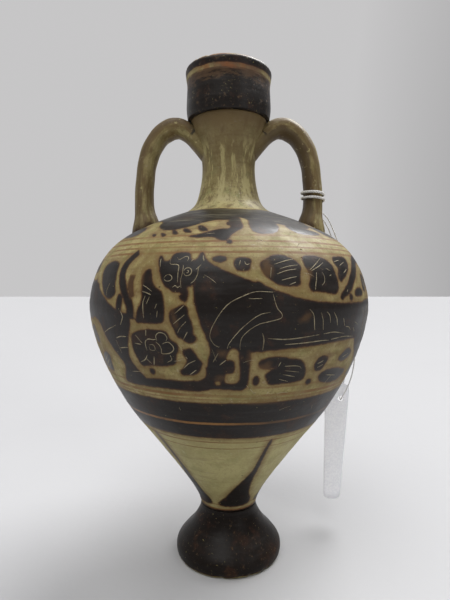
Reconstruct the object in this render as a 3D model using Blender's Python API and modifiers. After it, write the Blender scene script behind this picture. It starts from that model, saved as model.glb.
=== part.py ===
"""Small black-figure neck-amphora with a museum tag tied to one handle.

The jar stands on z = 0 with its axis on +Z, its two handles on +X and -X, and its front towards -Y.
Outlines are written in millimetres as (radius, height) or (x, y, z), and the meshes are in metres.
"""

import math

import bmesh
import bpy
from mathutils import Matrix, Vector

MM = 0.001

# Driving dimensions, in millimetres.
HEIGHT = 200.0
GAP = 0.3  # between pieces that touch
SEGMENTS = 48  # round every turned piece
FOOT_TOP = 21.3
NECK_BASE = 143.5
MOUTH_BASE = 180.4
HANDLE_WIDTH_RATIO = 1.37  # handle section: front-to-back width over radial thickness
TIE_HEIGHT = 149.9  # middle of the string on the right handle
STRING = 1.1  # diameter of the tied string
STRING_PITCH = 2.2
STRING_TURNS = 2
THREAD = 0.5  # diameter of the thread that carries the tag
TAG_HOLE = Vector((52.0, 17.0, 60.5))  # also the tag's pivot
TAG_HOLE_RADIUS = 1.3
TAG_THICKNESS = 0.4

# Outlines of the turned pieces: points (radius, height) that a smooth curve passes through.
MOUTH_OUTER = [(16.8, HEIGHT), (17.6, 199.0), (17.4, 196.8), (17.0, 193.5), (17.2, 188.5), (17.3, 184.5),
               (16.8, MOUTH_BASE)]
MOUTH_INNER = [(9.2, MOUTH_BASE), (10.2, 182.2), (12.3, 184.8), (13.0, 189.0), (13.3, 196.5), (14.2, 199.4),
               (15.4, HEIGHT)]
NECK_OUTER = [(15.6, MOUTH_BASE - GAP), (14.4, 175.5), (12.4, 170.0), (11.0, 163.5), (11.1, 157.0),
              (12.3, 150.5), (13.7, 146.6), (16.2, NECK_BASE)]
NECK_INNER = [(7.6, NECK_BASE), (7.0, 152.0), (6.8, 160.0), (7.4, 170.0), (9.0, MOUTH_BASE - GAP)]
BODY_OUTER = [(16.4, NECK_BASE - GAP), (21.0, 141.6), (28.0, 139.0), (35.0, 135.9), (43.2, 131.4),
              (49.6, 125.2), (53.9, 117.2), (56.2, 107.0), (55.3, 97.5), (52.4, 87.5), (47.6, 76.5),
              (40.7, 64.5), (31.2, 52.0), (23.6, 41.8), (17.2, 32.8), (13.3, 26.2), (11.6, FOOT_TOP + GAP)]
BODY_INNER = [(8.5, 31.0), (14.6, 36.6), (22.0, 46.5), (31.5, 59.0), (39.5, 70.5), (46.0, 82.5), (50.3, 94.5),
              (51.9, 106.5), (49.8, 116.5), (45.2, 124.0), (38.4, 129.8), (29.0, 134.0), (18.5, 137.4),
              (9.5, 139.4), (7.6, NECK_BASE - GAP)]
FOOT_OUTER = [(11.5, FOOT_TOP), (12.4, 18.0), (15.2, 13.2), (19.3, 8.7), (21.6, 5.6), (22.1, 3.4), (21.7, 1.0)]
FOOT_INNER = [(15.4, 0.0), (13.6, 2.6), (9.6, 7.6), (4.6, 10.8)]
FOOT_REST_RADIUS = 20.4  # outer edge of the flat ring that the jar stands on
FOOT_HOLLOW_TOP = 11.8
BODY_FLOOR = 29.6  # inside, on the axis

# Centreline of the right handle, from inside the shoulder to inside the neck: (x, z, radial half thickness).
HANDLE_PATH = [(33.8, 130.5, 5.4), (34.2, 137.5, 5.2), (34.9, 144.0, 4.15), (35.1, 150.0, 3.85), (34.6, 157.0, 3.85),
               (33.7, 163.5, 3.85), (31.8, 169.3, 3.95), (28.6, 174.2, 4.05), (24.9, 177.0, 4.15),
               (21.2, 177.9, 4.1), (17.6, 176.7, 3.9), (14.4, 174.3, 3.8), (10.5, 171.2, 4.1), (7.0, 168.6, 4.2)]
HANDLE_SPANS = 3  # sections between two points of the path

# The thread's route: from the knot over the shoulder and belly, through the tag's hole and back.
THREAD_ROUTE = [(36.4, 9.1, 146.9), (39.2, 9.4, 145.9), (42.3, 9.8, 143.9), (44.9, 10.4, 140.4), (47.2, 11.2, 135.6),
                (49.8, 12.3, 129.6), (52.2, 13.4, 123.2), (54.1, 14.2, 117.0), (55.4, 14.8, 110.5), (56.1, 15.1, 103.5),
                (57.0, 15.3, 96.0), (57.8, 15.4, 88.0), (57.9, 15.4, 80.0), (57.0, 15.4, 73.0), (55.4, 15.4, 67.6),
                (53.7, 15.5, 63.8), (52.6, 15.7, 61.7), (52.15, 16.15, 60.4), (52.0, 17.0, 59.9),
                (52.0, 17.85, 60.4), (52.2, 18.3, 61.7), (52.8, 18.4, 64.2), (54.0, 18.1, 69.5), (55.0, 17.5, 77.0),
                (55.3, 17.0, 86.0), (55.1, 16.7, 95.0), (54.8, 16.5, 103.5), (54.2, 16.3, 110.5), (52.8, 15.9, 117.3),
                (50.5, 15.2, 123.8), (48.2, 14.3, 129.8), (46.2, 13.2, 134.6), (44.2, 12.1, 138.6), (41.8, 11.1, 142.0),
                (38.4, 10.1, 144.9), (34.8, 9.4, 146.7)]
THREAD_SPANS = 2

# The tag's corners, from its hole: (x, z), clockwise from the top left, and how far each is rounded.
TAG_CORNERS = [((-7.2, 6.9), 3.0), ((4.2, 6.9), 3.0), ((0.2, -47.9), 2.8), ((-7.2, -47.9), 2.8)]


def smooth(points, spans=2):
    """Points along a curve through the given ones, with this many steps between two of them."""
    knots = [Vector(point) for point in points]
    knots = [2 * knots[0] - knots[1]] + knots + [2 * knots[-1] - knots[-2]]
    route = []
    for a, b, c, d in zip(knots, knots[1:], knots[2:], knots[3:]):
        for step in range(spans):
            t = step / spans
            route.append(0.5 * (2 * b + (c - a) * t + (2 * a - 5 * b + 4 * c - d) * t * t
                                + (3 * b - 3 * c + d - a) * t ** 3))
    return route + [knots[-2]]


def offset(points, distance):
    """The outline moved outwards, for one that runs down its outer side."""
    moved = []
    for i, point in enumerate(points):
        along = points[min(i + 1, len(points) - 1)] - points[max(i - 1, 0)]
        normal = Vector((-along.y, along.x)).normalized()
        moved.append(point + normal * distance)
    return moved


def new_collection(name):
    collection = bpy.data.collections.new(name)
    bpy.context.scene.collection.children.link(collection)
    return collection


def new_material(name, colour, roughness):
    material = bpy.data.materials.new(name)
    material.use_nodes = True
    shader = material.node_tree.nodes["Principled BSDF"]
    shader.inputs["Base Color"].default_value = (*colour, 1.0)
    shader.inputs["Roughness"].default_value = roughness
    return material


def add_object(name, data, collection, material=None):
    obj = bpy.data.objects.new(name, data)
    collection.objects.link(obj)
    if material:
        data.materials.append(material)
    return obj


def turned(name, outline, collection, material=None, closed=False):
    """A solid of revolution from an outline in millimetres that runs down its outer side."""
    mesh = bpy.data.meshes.new(name)
    corners = [(point[0] * MM, 0.0, point[1] * MM) for point in outline]
    edges = [(i, i + 1) for i in range(len(corners) - 1)]
    if closed:
        edges.append((len(corners) - 1, 0))
    mesh.from_pydata(corners, edges, [])
    obj = add_object(name, mesh, collection, material)
    screw = obj.modifiers.new("turn", "SCREW")
    screw.axis = "Z"
    screw.steps = SEGMENTS
    screw.render_steps = SEGMENTS
    screw.use_merge_vertices = True
    screw.merge_threshold = 0.00001
    screw.use_smooth_shade = True
    return obj


def tube(name, route, radius, collection, material, widths=None, sides=2):
    """A round rod along points in metres, with closed ends; widths scale its radius at each point."""
    curve = bpy.data.curves.new(name, "CURVE")
    curve.dimensions = "3D"
    curve.bevel_depth = radius
    curve.bevel_resolution = sides
    curve.use_fill_caps = True
    spline = curve.splines.new("POLY")
    spline.points.add(len(route) - 1)
    for i, place in enumerate(route):
        spline.points[i].co = (*place, 1.0)
        if widths:
            spline.points[i].radius = widths[i]
    return add_object(name, curve, collection, material)


def make_mouth(parts, slip):
    return turned("mouth", smooth(MOUTH_OUTER) + smooth(MOUTH_INNER), parts, slip, closed=True)


def make_neck(parts, clay):
    return turned("neck", smooth(NECK_OUTER) + smooth(NECK_INNER), parts, clay, closed=True)


def make_body(parts, slip):
    inner = [Vector((0.0, BODY_FLOOR))] + smooth(BODY_INNER, 1)
    outer = smooth(BODY_OUTER) + [Vector((0.0, FOOT_TOP + GAP))]
    return turned("body", inner + outer, parts, slip)


def make_foot(parts, slip):
    outer = [Vector((0.0, FOOT_TOP))] + smooth(FOOT_OUTER) + [Vector((FOOT_REST_RADIUS, 0.0))]
    inner = smooth(FOOT_INNER) + [Vector((0.0, FOOT_HOLLOW_TOP))]
    return turned("foot", outer + inner, parts, slip)


def make_handle_cutters(cutters):
    """The jar's outer surfaces, moved out by the gap, which trim the handles' ends."""
    made = []
    for name, outer in (("mouth", MOUTH_OUTER), ("neck", NECK_OUTER), ("body", BODY_OUTER)):
        skin = offset(smooth(outer), GAP)
        top = skin[0] + Vector((0.0, GAP))
        bottom = skin[-1] - Vector((0.0, GAP))
        outline = [Vector((0.0, top.y)), top] + skin + [bottom, Vector((0.0, bottom.y))]
        cutter = turned(f"trim_{name}", outline, cutters)
        cutter.hide_render = True
        cutter.display_type = "WIRE"
        made.append(cutter)
    return made


def make_handle(name, side, parts, clay, trims):
    """An oval roll of clay; side is 1 for the right handle and -1 for the left."""
    path = smooth(HANDLE_PATH, HANDLE_SPANS)
    route = [Vector((x * MM, 0.0, z * MM)) for x, z, _ in path]
    rod = tube(name + "_path", route, MM, parts, None, widths=[half for _, _, half in path], sides=6)
    bpy.context.view_layer.update()
    graph = bpy.context.evaluated_depsgraph_get()
    mesh = bpy.data.meshes.new_from_object(rod.evaluated_get(graph))
    bpy.data.objects.remove(rod)
    mesh.name = name
    shape = bmesh.new()
    shape.from_mesh(mesh)
    bmesh.ops.remove_doubles(shape, verts=shape.verts, dist=0.00001)
    shape.transform(Matrix.Diagonal((side, HANDLE_WIDTH_RATIO, 1.0, 1.0)))
    bmesh.ops.recalc_face_normals(shape, faces=shape.faces)
    shape.to_mesh(mesh)
    shape.free()
    mesh.shade_smooth()
    handle = add_object(name, mesh, parts, clay)
    for trim in trims:
        cut = handle.modifiers.new("cut_" + trim.name, "BOOLEAN")
        cut.operation = "DIFFERENCE"
        cut.solver = "EXACT"
        cut.object = trim
    return handle


def handle_middle(height):
    """x and the radial half thickness of the right handle at this height, on its upright stretch."""
    upright = [point for point in smooth(HANDLE_PATH, 12) if point.z > 3.8 and point.x > 34.0]
    nearest = min(upright, key=lambda point: abs(point.y - height))
    return nearest.x, nearest.z


def make_string(parts, cotton):
    """Two turns round the right handle, starting and ending behind it, and the knot there."""
    x, half = handle_middle(TIE_HEIGHT)
    clear = GAP + STRING / 2
    steps = 24 * STRING_TURNS
    route = []
    for step in range(steps + 1):
        angle = math.tau * STRING_TURNS * step / steps
        place = Vector((x + (half + clear) * math.sin(angle),
                        (half * HANDLE_WIDTH_RATIO + clear) * math.cos(angle),
                        TIE_HEIGHT + STRING_PITCH * (STRING_TURNS / 2 - STRING_TURNS * step / steps)))
        route.append(place * MM)
    tube("string_wrap", route, STRING * MM / 2, parts, cotton)
    mesh = bpy.data.meshes.new("string_knot")
    shape = bmesh.new()
    bmesh.ops.create_uvsphere(shape, u_segments=16, v_segments=10, radius=MM)
    shape.transform(Matrix.Diagonal((1.9, 1.35, 2.4, 1.0)))
    shape.to_mesh(mesh)
    shape.free()
    mesh.shade_smooth()
    knot = add_object("string_knot", mesh, parts, cotton)
    behind = half * HANDLE_WIDTH_RATIO + GAP + STRING
    knot.location = Vector((x + 0.6, behind + 2 * GAP + 1.35, TIE_HEIGHT)) * MM
    return knot


def make_thread(parts, nylon):
    route = [place * MM for place in smooth(THREAD_ROUTE, THREAD_SPANS)]
    return tube("tag_thread", route, THREAD * MM / 2, parts, nylon)


def rounded(corners, steps=5):
    """An outline with each corner replaced by a quadratic curve that starts and ends its rounding away."""
    outline = []
    for i, (corner, rounding) in enumerate(corners):
        here = Vector(corner)
        before = Vector(corners[i - 1][0])
        after = Vector(corners[(i + 1) % len(corners)][0])
        start = here + (before - here).normalized() * rounding
        end = here + (after - here).normalized() * rounding
        for step in range(steps + 1):
            t = step / steps
            outline.append(start * (1 - t) ** 2 + here * 2 * t * (1 - t) + end * t * t)
    return outline


def make_tag(parts, paper):
    """A tapered strip that hangs in a plane square to +Y, with its origin at its hole."""
    curve = bpy.data.curves.new("tag", "CURVE")
    curve.dimensions = "2D"
    curve.fill_mode = "BOTH"
    curve.extrude = TAG_THICKNESS * MM / 2
    hole = [Vector((math.cos(math.tau * i / 16), math.sin(math.tau * i / 16))) * TAG_HOLE_RADIUS
            for i in range(16)]
    for outline in (rounded(TAG_CORNERS), hole):
        spline = curve.splines.new("POLY")
        spline.use_cyclic_u = True
        spline.points.add(len(outline) - 1)
        for i, point in enumerate(outline):
            spline.points[i].co = (point.x * MM, point.y * MM, 0.0, 1.0)
    tag = add_object("tag", curve, parts, paper)
    tag.location = TAG_HOLE * MM
    tag.rotation_euler = (math.pi / 2, 0.0, 0.0)
    return tag


def main():
    for obj in list(bpy.data.objects):
        bpy.data.objects.remove(obj, do_unlink=True)
    parts = new_collection("amphora")
    cutters = new_collection("amphora_cutters")
    clay = new_material("bare_clay", (0.42, 0.33, 0.16), 0.75)
    slip = new_material("black_slip", (0.03, 0.026, 0.024), 0.35)
    cotton = new_material("cotton_string", (0.85, 0.84, 0.8), 0.9)
    nylon = new_material("fine_thread", (0.75, 0.76, 0.76), 0.5)
    paper = new_material("tag_paper", (0.66, 0.67, 0.76), 0.6)

    make_foot(parts, slip)
    make_body(parts, slip)
    make_neck(parts, clay)
    make_mouth(parts, slip)
    trims = make_handle_cutters(cutters)
    make_handle("handle_right", 1, parts, clay, trims)
    make_handle("handle_left", -1, parts, clay, trims)
    make_string(parts, cotton)
    make_thread(parts, nylon)
    make_tag(parts, paper)


main()
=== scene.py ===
import math
import random

import bpy
import numpy as np
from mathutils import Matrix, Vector


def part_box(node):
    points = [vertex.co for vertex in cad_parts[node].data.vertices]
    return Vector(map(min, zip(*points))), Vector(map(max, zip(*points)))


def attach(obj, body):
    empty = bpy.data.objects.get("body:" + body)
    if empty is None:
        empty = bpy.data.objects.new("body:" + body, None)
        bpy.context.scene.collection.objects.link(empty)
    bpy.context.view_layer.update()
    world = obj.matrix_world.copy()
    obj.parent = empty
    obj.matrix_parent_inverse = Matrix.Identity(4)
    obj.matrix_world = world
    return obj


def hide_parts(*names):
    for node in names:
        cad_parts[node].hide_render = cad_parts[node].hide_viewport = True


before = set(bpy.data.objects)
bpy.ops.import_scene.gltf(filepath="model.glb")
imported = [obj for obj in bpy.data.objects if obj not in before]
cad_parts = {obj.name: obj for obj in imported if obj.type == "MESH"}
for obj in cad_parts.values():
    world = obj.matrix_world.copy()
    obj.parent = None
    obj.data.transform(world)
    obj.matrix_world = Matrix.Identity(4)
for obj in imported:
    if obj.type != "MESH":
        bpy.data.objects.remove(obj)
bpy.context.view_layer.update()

# Lengths below are in millimetres, azimuths in degrees: 0 is the front (-Y), and it grows to the right (+X).
MM = 0.001
FULL_TURN = 2 * math.pi
FOOT_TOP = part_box("foot")[1][2] / MM
NECK_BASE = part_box("neck")[0][2] / MM
MOUTH_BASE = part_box("mouth")[0][2] / MM
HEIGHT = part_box("mouth")[1][2] / MM

# Outlines of the turned pieces as (radius, height), outer ones from the top down and inner ones from the
# bottom up.
MOUTH_OUTER = [(16.8, HEIGHT), (17.6, 199), (17.4, 196.8), (17.0, 193.5), (17.2, 188.5), (17.3, 184.5),
               (16.8, MOUTH_BASE)]
MOUTH_INNER = [(9.2, MOUTH_BASE), (10.2, 182.2), (12.3, 184.8), (13.0, 189), (13.3, 196.5), (14.2, 199.4),
               (15.4, HEIGHT)]
NECK_OUTER = [(15.6, 180.1), (14.4, 175.5), (12.4, 170), (11, 163.5), (11.1, 157), (12.3, 150.5),
              (13.7, 146.6), (15.8, 144.2), (18.6, 142.3)]
NECK_INNER = [(7.6, NECK_BASE), (7, 152), (6.8, 160), (7.4, 170), (9, 180.1)]
BODY_OUTER = [(16.4, 143.2), (21, 141.6), (28, 139), (35, 135.9), (43.2, 131.4), (49.6, 125.2),
              (53.9, 117.2), (56.2, 107), (55.3, 97.5), (52.4, 87.5), (47.6, 76.5), (40.7, 64.5),
              (31.2, 52), (23.6, 41.8), (17.2, 32.8), (13.3, 26.2), (11.6, 21.6)]
BODY_INNER = [(8.5, 31), (14.6, 36.6), (22, 46.5), (31.5, 59), (39.5, 70.5), (46, 82.5), (50.3, 94.5),
              (51.9, 106.5), (49.8, 116.5), (45.2, 124), (38.4, 129.8), (29, 134), (18.5, 137.4),
              (9.5, 139.4), (7.6, 143.2)]
BODY_FLOOR = 29.6
FOOT_OUTER = [(11.5, FOOT_TOP), (12.4, 18), (15.2, 13.2), (19.3, 8.7), (21.6, 5.6), (22.1, 3.4),
              (21.7, 1.0), (20.4, 0)]
FOOT_INNER = [(15.4, 0), (13.6, 2.6), (9.6, 7.6), (4.6, 10.8)]
FOOT_HOLLOW_TOP = 11.8

# The handles' middle line as (distance from the axis, height, half thickness); they are wider than thick.
HANDLE_PATH = [(33.8, 130.5, 5.4), (34.2, 137.5, 5.2), (34.9, 144, 4.15), (35.1, 150, 3.85),
               (34.6, 157, 3.85), (33.7, 163.5, 3.85), (31.8, 169.3, 3.95), (28.6, 174.2, 4.05),
               (24.9, 177, 4.15), (21.2, 177.9, 4.1), (17.6, 176.7, 3.9), (14.4, 174.3, 3.8),
               (10.5, 171.2, 4.1), (7, 168.6, 4.2)]
HANDLE_WIDTH_RATIO = 1.37
HANDLE_UPRIGHT_TOP = 165

TIE_HEIGHT = 149.9
STRING = 1.1
STRING_PITCH = 2.2
STRING_TURNS = 2
THREAD = 0.5
THREAD_ROUTE = [(36.4, 9.1, 146.9), (39.2, 9.4, 145.9), (42.3, 9.8, 143.9), (44.9, 10.4, 140.4),
                (47.2, 11.2, 135.6), (49.8, 12.3, 129.6), (52.2, 13.4, 123.2), (54.1, 14.2, 117.0),
                (55.4, 14.8, 110.5), (56.1, 15.1, 103.5), (57.0, 15.3, 96.0), (57.8, 15.4, 88.0),
                (57.9, 15.4, 80.0), (57.0, 15.4, 73.0), (55.4, 15.4, 67.6), (53.7, 15.5, 63.8),
                (52.6, 15.7, 61.7), (52.15, 16.15, 60.4), (52.0, 17.0, 59.9), (52.0, 17.85, 60.4),
                (52.2, 18.3, 61.7), (52.8, 18.4, 64.2), (54.0, 18.1, 69.5), (55.0, 17.5, 77.0),
                (55.3, 17.0, 86.0), (55.1, 16.7, 95.0), (54.8, 16.5, 103.5), (54.2, 16.3, 110.5),
                (52.8, 15.9, 117.3), (50.5, 15.2, 123.8), (48.2, 14.3, 129.8), (46.2, 13.2, 134.6),
                (44.2, 12.1, 138.6), (41.8, 11.1, 142.0), (38.4, 10.1, 144.9), (34.8, 9.4, 146.7)]
TAG_HOLE = (52.0, 17.0, 60.5)
TAG_HOLE_RADIUS = 1.3
TAG_THICKNESS = 0.4
# Each corner, from the hole, and how far along its sides its rounding starts.
TAG_CORNERS = [((-7.2, 6.9), 3.0), ((4.2, 6.9), 3.0), ((0.2, -47.9), 2.8), ((-7.2, -47.9), 2.8)]
# How far the tag leaves flat: curled back at its far end, bowed across, and rippled, over this much of its
# length.
TAG_DROP = 48
TAG_CURL = 0.9
TAG_BOW = 0.012
TAG_RIPPLE = 0.10
# How much of a turned piece's map its inside gets, against the same length outside.
INSIDE_SHARE_OF_MAP = 0.12

# ------------------------------
# Curves and meshes
# ------------------------------


def smooth(points, spans, closed=False):
    """Points on a curve that goes through the given ones, with that many spans between two of them."""
    knots = [np.array(point, float) for point in points]
    if closed:
        knots = [knots[-1], *knots, knots[0], knots[1]]
    else:
        knots = [2 * knots[0] - knots[1], *knots, 2 * knots[-1] - knots[-2]]
    found = []
    for before, start, end, after in zip(knots, knots[1:], knots[2:], knots[3:]):
        for step in range(spans):
            t = step / spans
            bend = 2 * before - 5 * start + 4 * end - after
            turn = 3 * start - 3 * end + after - before
            found.append(0.5 * (2 * start + (end - before) * t + bend * t * t + turn * t ** 3))
    if not closed:
        found.append(knots[-2])
    return np.array(found)


def arc_lengths(line):
    return np.concatenate([[0], np.cumsum(np.linalg.norm(np.diff(line, axis=0), axis=1))])


def resampled(line, lengths):
    """The line's points at these distances along it."""
    along = arc_lengths(line)
    return np.column_stack([np.interp(lengths, along, line[:, axis]) for axis in range(line.shape[1])])


def evenly(line, step):
    total = arc_lengths(line)[-1]
    return resampled(line, np.linspace(0, total, max(2, round(total / step) + 1)))


def directions(line):
    """Unit vectors along a line, one at each of its points."""
    ahead = np.gradient(line, axis=0)
    return ahead / np.linalg.norm(ahead, axis=1)[:, None]


def aside_of(line):
    """Unit vectors square to a flat line, to its left."""
    ahead = directions(line)
    return np.column_stack([-ahead[:, 1], ahead[:, 0]])


def around(count):
    """That many angles, evenly round a turn."""
    return np.arange(count) * FULL_TURN / count


def frames_along(line, start):
    """Two unit vectors square to a line at each of its points, kept from twisting. start sets the first
    one."""
    tangents = directions(line)
    side = np.cross(tangents[0], start)
    frames = []
    for tangent in tangents:
        side = side - tangent * side.dot(tangent)
        side /= np.linalg.norm(side)
        frames.append((side, np.cross(tangent, side)))
    return frames


def tube(line, radius, sides):
    """Rings of points round a line."""
    turn = around(sides)
    return np.array([point + radius * (np.cos(turn)[:, None] * side + np.sin(turn)[:, None] * other)
                     for point, (side, other) in zip(line, frames_along(line, (0.3, 1.0, 0.2)))])


def linked(name, data):
    """A new object with this data, in the scene."""
    made = bpy.data.objects.new(name, data)
    bpy.context.scene.collection.objects.link(made)
    return made


def mesh_object(name, points_mm, faces, smooth_shading=True):
    mesh = bpy.data.meshes.new(name)
    mesh.from_pydata((np.asarray(points_mm) * MM).tolist(), [], [tuple(face) for face in faces])
    mesh.polygons.foreach_set("use_smooth", [smooth_shading] * len(mesh.polygons))
    mesh.update()
    return linked(name, mesh)


def float_attribute(obj, name, values):
    obj.data.attributes.new(name, "FLOAT", "POINT").data.foreach_set("value", np.asarray(values, np.float32))


def turned(name, rings, outside, segments, shape=None):
    """A surface of revolution with a vertex ring for each (radius, height), in order round its section. A
    ring on the axis is one vertex, and without such ends the last ring joins the first. The rings marked as
    outside get most of the map, and shape, if given, moves the grid of points (rings x segments x 3)."""
    rings = np.asarray(rings, float)
    turn = around(segments)
    grid = np.empty((len(rings), segments, 3))
    grid[..., 0] = rings[:, :1] * np.sin(turn)
    grid[..., 1] = -rings[:, :1] * np.cos(turn)
    grid[..., 2] = rings[:, 1:]
    if shape is not None:
        grid = shape(grid)
    steps = np.linalg.norm(np.roll(rings, -1, axis=0) - rings, axis=1)
    steps *= np.where(outside & np.roll(outside, -1), 1, INSIDE_SHARE_OF_MAP)
    rows = 1 - np.concatenate([[0], np.cumsum(steps)]) / steps.sum()
    first, last = int(rings[0, 0] == 0), len(rings) - int(rings[-1, 0] == 0)
    open_ended = last - first == len(rings)
    points = list(grid[first:last].reshape(-1, 3))
    faces, corners = [], []

    def face(upper, lower, high, low, j):
        """One face of the strip between two rings, or between a ring and a tip, which has one vertex
        number."""
        right = (j + 1) % segments
        left_u, right_u = j / segments, (j + 1) / segments
        if len(upper) == 1:
            faces.append((upper[0], lower[j], lower[right]))
            corners.extend([((left_u + right_u) / 2, high), (left_u, low), (right_u, low)])
        elif len(lower) == 1:
            faces.append((upper[j], lower[0], upper[right]))
            corners.extend([(left_u, high), ((left_u + right_u) / 2, low), (right_u, high)])
        else:
            faces.append((upper[j], lower[j], lower[right], upper[right]))
            corners.extend([(left_u, high), (left_u, low), (right_u, low), (right_u, high)])

    strips = [range(i * segments, (i + 1) * segments) for i in range(last - first)]
    if first:
        strips.insert(0, [len(points)])
        points.append(grid[0, 0])
    if last < len(rings):
        strips.append([len(points)])
        points.append(grid[-1, 0])
    if open_ended:
        strips.append(strips[0])
    for i, (upper, lower) in enumerate(zip(strips, strips[1:])):
        for j in range(segments):
            face(upper, lower, rows[i], rows[i + 1], j)
    made = mesh_object(name, points, faces)
    layer = made.data.uv_layers.new(name="OFBake")
    layer.data.foreach_set("uv", np.array(corners, np.float32).reshape(-1))
    return made


def ring_faces(count, sides, closed=False):
    """Faces from each ring of points to the next one, and from the last to the first if closed."""
    starts = [index * sides for index in range(count)]
    pairs = list(zip(starts, starts[1:] + (starts[:1] if closed else [])))
    return [(this + j, this + (j + 1) % sides, following + (j + 1) % sides, following + j)
            for this, following in pairs for j in range(sides)]


def lofted(rings, start=0):
    """Points and faces of a closed solid through these rings of equal count, numbered from start."""
    count, sides = rings.shape[:2]
    ends = [tuple(range(sides - 1, -1, -1)), tuple((count - 1) * sides + j for j in range(sides))]
    faces = ring_faces(count, sides) + ends
    return rings.reshape(-1, 3), [tuple(index + start for index in face) for face in faces]


def joined(name, solids):
    """One mesh of several closed solids, each given as rings of points."""
    points, faces, start = [], [], 0
    for rings in solids:
        some, more = lofted(rings, start)
        points.append(some)
        faces += more
        start += len(some)
    return mesh_object(name, np.concatenate(points), faces)


# ------------------------------
# Camera and light
# ------------------------------

CAMERA_PLACE = (-1.5, -190.5, 115.1)
CAMERA_TILT = 2.49
LENS = 27.15
NEAREST_SEEN = 5
LIGHT_AIM = 110

WORLD_COLOUR = (0.585, 0.58, 0.585)
# How the world's strength changes along an axis of the direction: from, to, and its share at each of them.
WORLD_FADES = (("Y", -0.55, 0.6, 0.15, 0.97), ("X", 0.25, 0.85, 1.0, 0.25))
# Name, azimuth, elevation, strength and width in degrees.
SUNS = (("window_behind", 128, 60, 2.7, 42), ("window_in_front", -25, 63, 2.1, 48))


def make_camera():
    camera = linked("camera", bpy.data.cameras.new("camera"))
    camera.location = Vector(CAMERA_PLACE) * MM
    camera.rotation_euler = (math.radians(90 - CAMERA_TILT), 0, 0)
    camera.data.lens = LENS
    camera.data.clip_start = NEAREST_SEEN * MM
    bpy.context.scene.camera = camera


def towards(azimuth, elevation):
    turn, rise = math.radians(azimuth), math.radians(elevation)
    return Vector((math.sin(turn) * math.cos(rise), -math.cos(turn) * math.cos(rise), math.sin(rise)))


def soft_box(name, azimuth, elevation, distance, size, power):
    """An area light that faces the middle of the object from that direction. distance and size are in
    metres."""
    light = bpy.data.lights.new(name, "AREA")
    light.shape = "RECTANGLE"
    light.size, light.size_y = size
    light.energy = power
    placed = linked(name, light)
    away = towards(azimuth, elevation)
    placed.location = away * distance + Vector((0, 0, LIGHT_AIM * MM))
    placed.rotation_euler = away.to_track_quat("Z", "Y").to_euler()
    return placed


def wide_sun(name, azimuth, elevation, strength, width):
    """Even light from that direction, from a patch of sky that many degrees wide."""
    sun = bpy.data.lights.new(name, "SUN")
    sun.energy, sun.angle = strength, math.radians(width)
    linked(name, sun).rotation_euler = towards(azimuth, elevation).to_track_quat("Z", "Y").to_euler()


def make_world():
    world = bpy.data.worlds.new("studio")
    bpy.context.scene.world = world
    world.use_nodes = True
    nodes, links = world.node_tree.nodes, world.node_tree.links
    background = nodes["Background"]
    background.inputs["Color"].default_value = (*WORLD_COLOUR, 1)
    parts = nodes.new("ShaderNodeSeparateXYZ")
    links.new(nodes.new("ShaderNodeTexCoord").outputs["Generated"], parts.inputs[0])
    strength = nodes.new("ShaderNodeMath")
    strength.operation = "MULTIPLY"
    for socket, (axis, *ends) in zip(strength.inputs, WORLD_FADES):
        fade = nodes.new("ShaderNodeMapRange")
        for end, value in zip(("From Min", "From Max", "To Min", "To Max"), ends):
            fade.inputs[end].default_value = value
        links.new(parts.outputs[axis], fade.inputs["Value"])
        links.new(fade.outputs[0], socket)
    links.new(strength.outputs[0], background.inputs["Strength"])


def make_light():
    make_world()
    for sun in SUNS:
        wide_sun(*sun)
    soft_box("side_window", 42, 22, 1.2, (0.06, 0.8), 1.4)
    glare = soft_box("glare", 118, 58, 1.1, (0.62, 0.45), 12.0)
    glare.visible_diffuse = False
    bpy.context.scene.view_settings.view_transform = "Standard"


make_camera()

# ------------------------------
# Finishes
# ------------------------------


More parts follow.
